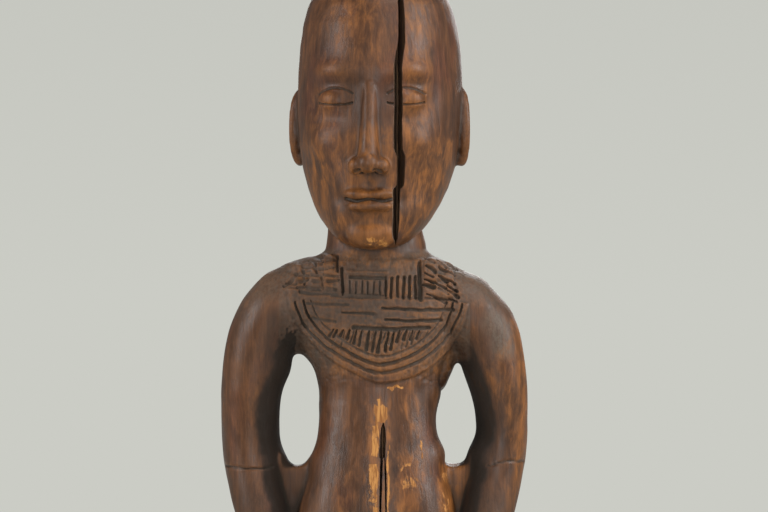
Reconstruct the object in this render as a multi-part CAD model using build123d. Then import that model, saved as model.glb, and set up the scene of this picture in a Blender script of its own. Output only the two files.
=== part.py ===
"""Carved ancestor figure: one block of hardwood, cut into a standing figure on its own round base.

The figure is a single carving, so nothing here moves. Each carved region of the block is its own
closed solid, and neighbouring regions meet face to face where a carver would name the boundary.
Units are millimetres. +Z is up, the figure faces -Y, and the origin is the centre of the base's
underside. "Left" and "right" are the figure's own, so its right arm is at negative X.
"""

import os
from typing import NamedTuple

from build123d import *
from build123d.topology import Shape

# Heights above the table, from the underside of the base to the crown.
BASE_TOP_Z = 22.0
ANKLE_Z = 38.0
KNEE_Z = 95.0
CROTCH_Z = 148.0
HIP_Z = 188.0
ELBOW_Z = 217.0
WAIST_Z = 240.0
CHEST_Z = 256.0
SHOULDER_Z = 296.0
CHIN_Z = 304.0
CROWN_Z = 422.0

# Overall sizes.
BASE_RADIUS = 52.0
BASE_EDGE_ROUND = 3.0
ARM_REACH = 61.4
NECK_HALF_WIDTH = 19.6
HEAD_HALF_WIDTH = 33.0
HEAD_HALF_DEPTH = 40.0

# The face is laid out by rule: eyes half way up the head, nose half way from eyes to chin.
EYE_Z = (CHIN_Z + CROWN_Z) / 2
NOSE_Z = (CHIN_Z + EYE_Z) / 2
LIPS_Z = CHIN_Z + (NOSE_Z - CHIN_Z) * 2 / 3
EYE_SPACING = HEAD_HALF_WIDTH * 0.46
EAR_HALF_WIDTH = 7.5
EAR_HALF_HEIGHT = 15.0
EAR_THICKNESS = 2.6
EAR_Y = 9.0
EAR_LEAN = 20
LID_Y = -27.6
LID_LEAN = 30

# The head is turned a little to its own right, and sits a little to the left of the base's centre.
HEAD_TURN = -6.0
HEAD_SHIFT = 1.6

# The seasoning crack in the head opens forwards from near the pith of the log.
CRACK_MOUTH = 2.8
CRACK_TIP = (2.0, 0.0)
CRACK_NARROWS_Y = -30.0
CRACK_FRONT_Y = -60.0
CRACK_STEPS = ((308.0, 328.4, 8.6), (328.0, 341.4, 10.9), (341.0, 370.4, 9.0), (370.0, 430.0, 11.2))

# The engraved crescent on the chest stands proud of it, hung from a level line under the collar.
PANEL_TOP_Z = 285.0
PANEL_LOW_Z = 251.0
PANEL_HALF_WIDTH = 33.0
PANEL_PROUD = 1.2

# Where the arms are divided from the trunk: a plane through each armpit that leans out upwards.
ARMPIT_Z = 252.0
ARMPIT_X = 30.0
SHOULDER_CUT_X = 38.0

# Below each opening between arm and waist a thin web of wood is left standing.
WEB_LOW_Z = 184.0
WEB_DIP_Z = 217.4
WEB_X = 30.8
WEB_HALF_WIDTH = 7.4
WEB_BACK_Y = 11.0
WEB_FRONT_Y = -2.0

# The second crack runs down the belly.
BELLY_CRACK_WIDTH = 1.6
BELLY_CRACK_BOTTOM_Y = -11.0
BELLY_CRACK_X = 2.6
BELLY_CRACK_Z = (176.0, 243.0)

BIG = 400.0


class Ring(NamedTuple):
    """One level oval of a limb or trunk: its height, half sizes across and deep, and its centre."""

    z: float
    half_width: float
    half_depth: float
    y: float = 0.0
    x: float = 0.0


class Slice(NamedTuple):
    """One oval across an arm: its centre, its lean from level, and its half sizes."""

    x: float
    y: float
    z: float
    lean: float
    half_width: float
    half_depth: float


def oval(ring: Ring) -> Face:
    """The level oval of a ring, as a face."""
    plane = Plane(origin=(ring.x, ring.y, ring.z))
    return (plane * Ellipse(ring.half_width, ring.half_depth)).faces()[0]


def limb(rings: list[Ring], tip_z: float | None = None) -> Solid:
    """A smooth solid through level ovals, closed by a round tip above them if one is given."""
    sections = [oval(ring) for ring in rings]
    if tip_z is not None:
        top = rings[-1]
        sections.append(Vertex(top.x, top.y, tip_z))
    return loft(sections).solids()[0]


def arm_tube(slices: list[Slice], side: int) -> Solid:
    """A smooth solid through leaning ovals, on one side of the body."""
    sections = []
    for s in slices:
        plane = Plane(origin=(side * s.x, s.y, s.z)).rotated((0, -side * s.lean, 0))
        sections.append((plane * Ellipse(s.half_width, s.half_depth)).faces()[0])
    return loft(sections).solids()[0]


def between(shape: Shape, low: float, high: float) -> Solid:
    """The part of a shape between two heights."""
    slab = Pos(0, 0, (low + high) / 2) * Box(BIG, BIG, high - low)
    return largest(shape & slab)


def largest(shape: Shape) -> Solid:
    """The biggest solid of a shape, which drops slivers that a cut leaves behind."""
    return max(shape.solids(), key=lambda solid: solid.volume)


def ellipsoid(centre: tuple, half_sizes: tuple) -> Solid:
    """A ball stretched to three half sizes, about its centre."""
    ball = scale(Sphere(1.0), by=half_sizes)
    return (Pos(*centre) * ball).solids()[0]


def trunk(proud: float = 0.0) -> Solid:
    """The whole trunk from crotch to collar, grown on every side by a given height."""
    rings = [
        Ring(CROTCH_Z, 31.0, 21.0, 3.0),
        Ring(158.0, 35.0, 26.0, 4.5),
        Ring(172.0, 36.0, 27.0, 4.0),
        Ring(HIP_Z, 34.0, 24.0, 1.0),
        Ring(202.0, 31.0, 22.0, -1.0, 1.0),
        Ring(ELBOW_Z, 26.4, 20.0, -1.5, 1.2),
        Ring(WAIST_Z, 23.4, 18.0, 0.0, 1.2),
        Ring(252.0, 24.4, 18.4, 1.0, 1.0),
        Ring(264.0, 31.0, 20.5, 1.5, 0.6),
        Ring(276.0, 37.0, 22.0, 2.0, 0.4),
        Ring(286.0, 41.0, 20.5, 2.5),
        Ring(SHOULDER_Z - 1, 38.0, 18.5, 3.0),
        Ring(300.0, 28.5, 17.0, 3.0),
        Ring(CHIN_Z, NECK_HALF_WIDTH, 16.0, 3.0),
    ]
    return limb([Ring(r.z, r.half_width + proud, r.half_depth + proud, r.y, r.x) for r in rings])


def shoulder_wedge() -> Solid:
    """The block of space between the two planes that divide the shoulders from the arms."""
    top_z = CHIN_Z + 10
    outline = make_face(
        Polyline(
            (-ARMPIT_X, ARMPIT_Z), (ARMPIT_X, ARMPIT_Z), (SHOULDER_CUT_X, top_z), (-SHOULDER_CUT_X, top_z),
            close=True,
        )
    )
    return extrude(Plane.XZ * outline, amount=BIG / 2, both=True).solids()[0]


def chest_panel() -> Shape:
    """The raised crescent on the front of the chest, as a thin plate that follows its curve."""
    left_end, right_end = (PANEL_HALF_WIDTH, PANEL_TOP_Z), (-PANEL_HALF_WIDTH, PANEL_TOP_Z)
    outline = [Line(right_end, left_end), ThreePointArc(left_end, (0, PANEL_LOW_Z), right_end)]
    crescent = Plane.XZ * make_face(outline)
    front = extrude(crescent, amount=BIG / 2)
    return trunk(PANEL_PROUD) & front


def belly_crack() -> Solid:
    """The slot of the crack that runs down the belly."""
    low, high = BELLY_CRACK_Z
    mouth = -BIG / 2
    slot = Box(BELLY_CRACK_WIDTH, BELLY_CRACK_BOTTOM_Y - mouth, high - low)
    centre = Pos(BELLY_CRACK_X, (mouth + BELLY_CRACK_BOTTOM_Y) / 2, (low + high) / 2)
    return (centre * slot).solids()[0]


def neck() -> Solid:
    """The short round neck, from the collar up into the skull."""
    return limb(
        [
            Ring(CHIN_Z, NECK_HALF_WIDTH, 16.0, 3.0),
            Ring(312.0, 18.8, 16.0, 3.5),
            Ring(326.0, 18.8, 16.5, 5.0),
        ]
    )


def head_form() -> Solid:
    """The egg of the head, facing straight forward over the base's centre."""
    wide, deep = HEAD_HALF_WIDTH, HEAD_HALF_DEPTH
    rings = [
        Ring(CHIN_Z, 0.30 * wide, 0.20 * deep, -19.0),
        Ring(CHIN_Z + 4, 0.50 * wide, 0.38 * deep, -15.0),
        Ring(CHIN_Z + 12, 0.70 * wide, 0.60 * deep, -8.0),
        Ring(CHIN_Z + 24, 0.87 * wide, 0.82 * deep, -1.0),
        Ring(CHIN_Z + 42, 0.98 * wide, 0.97 * deep, 3.5),
        Ring(CHIN_Z + 62, wide, deep, 5.0),
        Ring(CHIN_Z + 82, 0.94 * wide, 0.95 * deep, 5.5),
        Ring(CHIN_Z + 98, 0.77 * wide, 0.79 * deep, 5.5),
        Ring(CHIN_Z + 109, 0.53 * wide, 0.55 * deep, 5.5),
        Ring(CHIN_Z + 115, 0.30 * wide, 0.31 * deep, 5.5),
    ]
    return limb(rings, CROWN_Z)


def face() -> list[Solid]:
    """The plain features of the face: a straight nose, two closed lids and two lips."""
    nose = limb(
        [
            Ring(NOSE_Z, 7.6, 7.5, -34.0),
            Ring(NOSE_Z + 7, 6.2, 7.2, -34.5),
            Ring(EYE_Z - 8, 3.6, 4.5, -34.5),
        ],
        EYE_Z + 4,
    )
    lids = [eyelid(side) for side in (-1, 1)]
    upper_lip = ellipsoid((0, -31.0, LIPS_Z + 2.2), (11.5, 4.6, 2.8))
    lower_lip = ellipsoid((0, -30.6, LIPS_Z - 2.2), (10.0, 4.4, 3.0))
    return [nose, *lids, upper_lip, lower_lip]


def eyelid(side: int) -> Solid:
    """One closed lid, as a flat almond lying on the curve of the head."""
    almond = Rot(0, 0, side * LID_LEAN) * ellipsoid((0, 0, 0), (8.4, 4.4, 4.6))
    return (Pos(side * EYE_SPACING, LID_Y, EYE_Z) * almond).solids()[0]


def head_crack() -> Shape:
    """The stepped wedge of the crack that splits the head from crown to chin."""
    tip_x, tip_y = CRACK_TIP
    wedges = []
    for low, high, mouth_x in CRACK_STEPS:
        corners = [
            (mouth_x - CRACK_MOUTH / 2, CRACK_FRONT_Y),
            (mouth_x + CRACK_MOUTH / 2, CRACK_FRONT_Y),
            (mouth_x + CRACK_MOUTH / 2, CRACK_NARROWS_Y),
            (tip_x, tip_y),
            (mouth_x - CRACK_MOUTH / 2, CRACK_NARROWS_Y),
        ]
        outline = make_face(Polyline(*corners, close=True))
        wedges.append(Pos(0, 0, low) * extrude(outline, amount=high - low, dir=(0, 0, 1)))
    crack = wedges[0]
    for wedge in wedges[1:]:
        crack = crack + wedge
    return crack


def turned(shape: Shape) -> Shape:
    """A piece of the head moved from straight ahead to where the head really points."""
    return Pos(HEAD_SHIFT, 0, 0) * Rot(0, 0, HEAD_TURN) * shape


def ear(side: int) -> Solid:
    """One plain ear, as a thick oval plate lying back along the side of the head."""
    plate = extrude(Plane.YZ * Ellipse(EAR_HALF_WIDTH, EAR_HALF_HEIGHT), amount=EAR_THICKNESS, both=True)
    rounded = fillet(plate.edges(), EAR_THICKNESS * 0.7)
    lean = Rot(0, 0, side * EAR_LEAN) * rounded
    return (Pos(side * HEAD_HALF_WIDTH, EAR_Y, EYE_Z - 2) * lean).solids()[0]


def whole_arm(side: int) -> Solid:
    """Upper arm and forearm as one bent tube, from inside the shoulder to the wrist."""
    return arm_tube(
        [
            Slice(22.0, 2.0, 281.0, 82.0, 12.5, 15.0),
            Slice(33.0, 2.0, 281.0, 68.0, 14.8, 15.5),
            Slice(42.0, 2.0, 275.0, 46.0, 14.6, 15.5),
            Slice(46.2, 2.5, 264.5, 18.0, 13.3, 14.5),
            Slice(49.1, 3.5, 250.0, 5.0, 12.1, 13.6),
            Slice(ARM_REACH - 11.4, 5.0, 236.0, 0.0, 11.4, 13.2),
            Slice(49.2, 6.0, 222.0, -6.0, 11.4, 13.4),
            Slice(46.8, 3.5, 208.0, -12.0, 11.2, 13.0),
            Slice(44.0, -1.5, 195.0, -17.0, 10.2, 11.6),
            Slice(39.4, -7.5, 183.0, -21.0, 8.8, 9.6),
            Slice(36.4, -12.0, 174.0, -22.0, 8.0, 8.4),
        ],
        side,
    )


def web(side: int) -> Solid:
    """The web between forearm and waist, with a round hollow in its upper edge under the opening."""
    thickness = WEB_BACK_Y - WEB_FRONT_Y
    hollow_z = WEB_DIP_Z + WEB_HALF_WIDTH
    middle_y = (WEB_BACK_Y + WEB_FRONT_Y) / 2
    slab = Pos(side * WEB_X, middle_y, (WEB_LOW_Z + hollow_z) / 2) * Box(
        2 * WEB_HALF_WIDTH, thickness, hollow_z - WEB_LOW_Z
    )
    hollow = Pos(side * WEB_X, middle_y, hollow_z) * Rot(90, 0, 0) * Cylinder(WEB_HALF_WIDTH, BIG)
    return largest(slab - hollow)


def hand(side: int) -> Solid:
    """A flat hand laid on the front of the hip, with its fingers pointing in and down."""
    palm = ellipsoid((0, 0, 0), (8.6, 6.0, 15.0))
    tilt = Rot(-14, 0, 0) * Rot(0, side * 28, 0) * palm
    return (Pos(side * 29.5, -19.5, 163.0) * tilt).solids()[0]


def leg(side: int) -> Solid:
    """Thigh and calf as one flexed tube, from inside the hip to the top of the foot."""
    return limb(
        [
            Ring(26.0, 9.0, 10.5, 7.0, side * 22.0),
            Ring(ANKLE_Z, 10.0, 11.0, 6.0, side * 22.0),
            Ring(56.0, 13.0, 15.0, 5.0, side * 21.8),
            Ring(74.0, 15.0, 17.5, 1.5, side * 21.6),
            Ring(KNEE_Z - 6, 13.6, 15.0, -5.0, side * 21.2),
            Ring(KNEE_Z + 8, 14.2, 15.5, -8.0, side * 20.8),
            Ring(120.0, 16.4, 19.0, -4.5, side * 20.2),
            Ring(138.0, 17.4, 21.0, 0.5, side * 19.0),
            Ring(156.0, 16.0, 20.0, 3.0, side * 17.0),
        ]
    )


def foot(side: int) -> Solid:
    """A plain flat foot, widest across the toes, with its sole on the base."""
    sections = []
    for y, half_width, height in ((19.0, 7.5, 8.0), (12.0, 9.5, 14.0), (0.0, 10.0, 17.0),
                                  (-12.0, 11.0, 12.5), (-24.0, 12.0, 8.5), (-32.0, 9.5, 6.0)):
        plane = Plane(origin=(side * 22.0, y, BASE_TOP_Z), x_dir=(1, 0, 0), z_dir=(0, -1, 0))
        sections.append((plane * Ellipse(half_width, height)).faces()[0])
    return loft(sections).solids()[0]


def base() -> Solid:
    """The round base, left on the block under the feet."""
    disc = Pos(0, 0, BASE_TOP_Z / 2) * Cylinder(BASE_RADIUS, BASE_TOP_Z)
    top_edge = disc.edges().group_by(Axis.Z)[-1]
    return fillet(top_edge, BASE_EDGE_ROUND).solids()[0]


def build() -> dict[str, Shape]:
    """Every carved region of the block, by name, with neighbours cut back to meet face to face."""
    torso = trunk()
    limbs = {side: whole_arm(side) for side in (-1, 1)}
    shoulders = (torso + limbs[-1] + limbs[1]) & shoulder_wedge()
    body = largest(between(torso, CROTCH_Z, ARMPIT_Z) + shoulders)
    skull = turned(head_form()).solids()[0]
    carved_head = largest(skull + [turned(feature) for feature in face()])
    cracked_body = largest(body - belly_crack())
    regions: dict[str, Shape] = {
        "base": base(),
        "hips": between(cracked_body, CROTCH_Z, HIP_Z),
        "abdomen": between(cracked_body, HIP_Z, CHEST_Z),
        "chest": between(cracked_body, CHEST_Z, CHIN_Z),
        "chest_panel": largest(chest_panel() - body),
        "head": largest(carved_head - head_crack()),
        "neck": largest(neck() - skull),
    }
    for side, name in ((-1, "right"), (1, "left")):
        arm = largest(torso + limbs[side] - body)
        palm = largest(hand(side) - body - arm)
        regions[f"{name}_web"] = largest(web(side) - body - arm)
        lower_limb = leg(side)
        sole = largest(between(foot(side), BASE_TOP_Z, ANKLE_Z) + between(lower_limb, BASE_TOP_Z, ANKLE_Z))
        regions[f"{name}_ear"] = largest(turned(ear(side)) - skull)
        regions[f"{name}_upper_arm"] = between(arm, ELBOW_Z, BIG)
        regions[f"{name}_forearm"] = between(arm, 0, ELBOW_Z)
        regions[f"{name}_hand"] = palm
        own_half = Pos(side * BIG / 2, 0, 0) * Box(BIG, BIG, BIG)
        regions[f"{name}_thigh"] = largest((between(lower_limb, KNEE_Z, BIG) & own_half) - body - palm)
        regions[f"{name}_calf"] = between(lower_limb, ANKLE_Z, KNEE_Z)
        regions[f"{name}_foot"] = sole
    return regions


def main() -> None:
    """Writes one STEP file for each region."""
    os.makedirs("parts", exist_ok=True)
    for name, region in build().items():
        export_step(region, f"parts/{name}.step")


main()
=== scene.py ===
"""Carved ancestor figure: the finished looks of a figure cut from one block of hardwood.

The rough forms of the block come from the frame's own regions and from new features, such as the
face, the ears, the hands and the feet. They are fused into one skin, and then the skin is worked as a
carver would: edges are worn round, lines and panels are cut, and the cracks open. In the end the
block is divided by level and upright cuts into closed pieces, which ride on the frame's one body.

Sizes in the classes are in millimetres, and Blender's own are in metres.
"""

import logging
import math
from dataclasses import dataclass, field
from enum import Enum
from typing import NamedTuple, Sequence

import bpy
import numpy as np
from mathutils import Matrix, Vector
from mathutils.bvhtree import BVHTree

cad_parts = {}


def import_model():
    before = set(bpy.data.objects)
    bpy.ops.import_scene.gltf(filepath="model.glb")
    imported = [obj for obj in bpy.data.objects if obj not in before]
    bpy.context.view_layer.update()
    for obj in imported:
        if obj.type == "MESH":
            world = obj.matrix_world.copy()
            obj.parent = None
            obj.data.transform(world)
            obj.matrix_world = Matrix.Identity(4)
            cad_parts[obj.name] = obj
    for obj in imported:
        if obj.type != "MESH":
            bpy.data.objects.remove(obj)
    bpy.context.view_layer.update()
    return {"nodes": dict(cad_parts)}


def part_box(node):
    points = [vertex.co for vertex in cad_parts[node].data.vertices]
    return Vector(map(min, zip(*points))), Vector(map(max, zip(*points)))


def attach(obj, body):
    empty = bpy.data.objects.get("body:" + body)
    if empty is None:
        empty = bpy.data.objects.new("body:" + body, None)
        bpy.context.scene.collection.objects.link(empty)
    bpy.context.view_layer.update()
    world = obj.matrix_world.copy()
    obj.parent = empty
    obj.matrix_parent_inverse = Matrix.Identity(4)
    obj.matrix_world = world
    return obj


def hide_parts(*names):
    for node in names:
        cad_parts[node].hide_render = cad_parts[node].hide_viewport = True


MM = 0.001
SEED = 20
FINE_VOXEL = 0.6
log = logging.getLogger("figure")


# ---------------------------------------------------------------------------------------------------
# The bench: short names for what a modeller does by hand.
# ---------------------------------------------------------------------------------------------------


def deselect_all() -> None:
    """Leaves nothing selected, CAD nodes included."""
    bpy.ops.object.select_all(action="DESELECT")


def take(obj: bpy.types.Object) -> None:
    """Selects one object alone and makes it active.

    Args:
        obj: The object to work on next.
    """
    deselect_all()
    obj.select_set(True)
    bpy.context.view_layer.objects.active = obj


def edit(obj: bpy.types.Object) -> None:
    """Enters edit mode on one object, with all of its mesh selected."""
    take(obj)
    bpy.ops.object.mode_set(mode="EDIT")
    bpy.ops.mesh.select_all(action="SELECT")


def leave_edit() -> None:
    """Goes back to object mode."""
    bpy.ops.object.mode_set(mode="OBJECT")


def finish_with(obj: bpy.types.Object, kind: str, **settings: object) -> None:
    """Adds a modifier to an object and applies it.

    Args:
        obj: The object to change.
        kind: The modifier's type.
        **settings: The modifier's own settings, by name.
    """
    take(obj)
    modifier = obj.modifiers.new(kind.title(), kind)
    for name, value in settings.items():
        setattr(modifier, name, value)
    bpy.ops.object.modifier_apply(modifier=modifier.name)


def fuse(parts: Sequence[bpy.types.Object], name: str) -> bpy.types.Object:
    """Joins separate shells into one object, without merging them yet.

    Args:
        parts: The shells.
        name: The joined object's name.

    Returns:
        The joined object.
    """
    take(parts[0])
    for part in parts:
        part.select_set(True)
    bpy.ops.object.join()
    joined = bpy.context.active_object
    joined.name = name
    return joined


def copy_of(node: bpy.types.Object, name: str) -> bpy.types.Object:
    """A loose copy of a frame node, with its split corners merged.

    Args:
        node: The frame's own object, which is left as it is.
        name: The copy's name.

    Returns:
        The copy.
    """
    copy = bpy.data.objects.new(name, node.data.copy())
    copy.data.materials.clear()
    bpy.context.scene.collection.objects.link(copy)
    edit(copy)
    bpy.ops.mesh.remove_doubles(threshold=0.002 * MM)
    leave_edit()
    return copy


def points_of(obj: bpy.types.Object) -> np.ndarray:
    """The mesh's points, one row each, in millimetres."""
    flat = np.empty(len(obj.data.vertices) * 3, np.float32)
    obj.data.vertices.foreach_get("co", flat)
    return flat.reshape(-1, 3).astype(float) / MM


def move_points(obj: bpy.types.Object, points: np.ndarray) -> None:
    """Puts the mesh's points at new places, given in millimetres."""
    obj.data.vertices.foreach_set("co", (points * MM).astype(np.float32).ravel())
    obj.data.update()


def normals_of(obj: bpy.types.Object) -> np.ndarray:
    """The mesh's point normals, one row each."""
    flat = np.empty(len(obj.data.vertices) * 3, np.float32)
    obj.data.vertex_normals.foreach_get("vector", flat)
    return flat.reshape(-1, 3).astype(float)


def edges_of(obj: bpy.types.Object) -> np.ndarray:
    """The two point numbers of every edge."""
    flat = np.empty(len(obj.data.edges) * 2, np.int32)
    obj.data.edges.foreach_get("vertices", flat)
    return flat.reshape(-1, 2)


def write_values(obj: bpy.types.Object, name: str, values: np.ndarray) -> None:
    """Stores one number for each point, for a material to read by name."""
    layer = obj.data.attributes.get(name) or obj.data.attributes.new(name, "FLOAT", "POINT")
    layer.data.foreach_set("value", values.astype(np.float32))


def ease(values: np.ndarray, low: float, high: float) -> np.ndarray:
    """A smooth ramp from 0 at low to 1 at high."""
    t = np.clip((values - low) / (high - low), 0.0, 1.0)
    return t * t * (3.0 - 2.0 * t)


def band(values: np.ndarray, low: float, full: float, still: float, high: float) -> np.ndarray:
    """1 from full to still, easing out to 0 at low and at high."""
    return ease(values, low, full) * (1 - ease(values, still, high))


def inside(values: np.ndarray, low: float, high: float) -> np.ndarray:
    """Which values lie between two limits."""
    return (values > low) & (values < high)


def blend_corners(lattice: np.ndarray, cell: np.ndarray, t: np.ndarray) -> np.ndarray:
    """Reads a lattice between its nodes.

    Args:
        lattice: Numbers on a grid, which repeats past its ends.
        cell: The lowest corner of the cell that each place lies in.
        t: How far across its cell each place lies, from 0 to 1 along each axis.

    Returns:
        One blended number for each place.
    """
    total = np.zeros(len(cell))
    for corner in range(8):
        step = np.array([corner & 1, corner >> 1 & 1, corner >> 2 & 1])
        weight = np.prod(np.where(step, t, 1.0 - t), axis=1)
        x, y, z = ((cell + step) % np.array(lattice.shape)).T
        total += weight * lattice[x, y, z]
    return total


def spread(values: np.ndarray, edges: np.ndarray, rounds: int) -> np.ndarray:
    """Averages values over neighbouring points, several times over.

    Args:
        values: One number or one row for each point.
        edges: The two point numbers of every edge.
        rounds: How many times to average.

    Returns:
        The evened values, in the same shape.
    """
    count = len(values)
    columns = values.reshape(count, -1)
    a, b = edges[:, 0], edges[:, 1]
    degree = np.bincount(a, minlength=count) + np.bincount(b, minlength=count)
    degree = np.maximum(degree, 1)
    for _ in range(rounds):
        around = np.empty_like(columns)
        for c in range(columns.shape[1]):
            total = np.bincount(a, columns[b, c], count) + np.bincount(b, columns[a, c], count)
            around[:, c] = total / degree
        columns = (columns + around) / 2
    return columns.reshape(values.shape)


class Noise:
    """Smooth random numbers in space, the same on every run."""

    size = 32

    def __init__(self, seed: int) -> None:
        """Draws the lattice of random numbers.

        Args:
            seed: The number that fixes the draw.
        """
        self.lattice = np.random.default_rng(seed).uniform(-1.0, 1.0, (self.size,) * 3)

    def at(self, points: np.ndarray, grain: float | Sequence[float]) -> np.ndarray:
        """Noise from -1 to 1 at each point.

        Args:
            points: Places in millimetres, one row each.
            grain: The size of one blotch in millimetres, the same all ways or one for each axis.

        Returns:
            One number for each point.
        """
        scaled = points / np.asarray(grain, float)
        cell = np.floor(scaled).astype(int)
        t = scaled - cell
        return blend_corners(self.lattice, cell, t * t * (3.0 - 2.0 * t))

    def rich(self, points: np.ndarray, grain: float, octaves: int = 3) -> np.ndarray:
        """Noise with finer and weaker noise laid over it."""
        total, strength = np.zeros(len(points)), 1.0
        for octave in range(octaves):
            total += strength * self.at(points + 7.3 * octave, grain / 2**octave)
            strength /= 2
        return total / 1.5


# ---------------------------------------------------------------------------------------------------
# Rough forms
# ---------------------------------------------------------------------------------------------------


@dataclass(frozen=True)
class Level:
    """One level oval of a turned form: its height, half sizes and centre."""

    z: float
    half_width: float
    half_depth: float
    y: float = 0.0
    x: float = 0.0


@dataclass(frozen=True)
class Lump:
    """One rounded swelling: its centre, half sizes and turn in degrees."""

    centre: tuple[float, float, float]
    half: tuple[float, float, float]
    turn: tuple[float, float, float] = (0.0, 0.0, 0.0)

    def mirrored(self) -> "Lump":
        """The same lump on the other side of the middle plane."""
        x, y, z = self.centre
        tilt, roll, yaw = self.turn
        return Lump((-x, y, z), self.half, (tilt, -roll, -yaw))


def raise_levels(name: str, levels: Sequence[Level], segments: int = 48) -> bpy.types.Object:
    """Raises a form from one circle by extruding and resizing it level by level.

    Args:
        name: The object's name.
        levels: The ovals from the lowest up.
        segments: How many sides each oval has.

    Returns:
        The closed form.
    """
    first = levels[0]
    deselect_all()
    bpy.ops.mesh.primitive_circle_add(
        vertices=segments, radius=MM, fill_type="NGON", location=(first.x * MM, first.y * MM, first.z * MM)
    )
    form = bpy.context.active_object
    form.name = name
    bpy.ops.object.transform_apply(location=True, rotation=True, scale=True)
    edit(form)
    middle = (first.x * MM, first.y * MM, first.z * MM)
    bpy.ops.transform.resize(value=(first.half_width, first.half_depth, 1.0), center_override=middle)
    for below, above in zip(levels, levels[1:]):
        rise = ((above.x - below.x) * MM, (above.y - below.y) * MM, (above.z - below.z) * MM)
        bpy.ops.mesh.extrude_region_move(TRANSFORM_OT_translate={"value": rise})
        growth = (above.half_width / below.half_width, above.half_depth / below.half_depth, 1.0)
        middle = (above.x * MM, above.y * MM, above.z * MM)
        bpy.ops.transform.resize(value=growth, center_override=middle)
    bpy.ops.mesh.select_all(action="SELECT")
    bpy.ops.mesh.normals_make_consistent(inside=False)
    leave_edit()
    finish_with(form, "SUBSURF", levels=1, render_levels=1)
    return form


def model_lump(name: str, lump: Lump) -> bpy.types.Object:
    """Adds one lump as a stretched ball.

    Args:
        name: The object's name.
        lump: Its place, size and turn.

    Returns:
        The lump, with its place in its mesh.
    """
    deselect_all()
    bpy.ops.mesh.primitive_uv_sphere_add(
        segments=32,
        ring_count=20,
        radius=1.0,
        location=[c * MM for c in lump.centre],
        rotation=[math.radians(a) for a in lump.turn],
        scale=[h * MM for h in lump.half],
    )
    ball = bpy.context.active_object
    ball.name = name
    bpy.ops.object.transform_apply(location=True, rotation=True, scale=True)
    return ball


def model_pair(name: str, lump: Lump) -> list[bpy.types.Object]:
    """The same lump on the left and on the right."""
    return [model_lump(name, lump), model_lump(name, lump.mirrored())]


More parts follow.
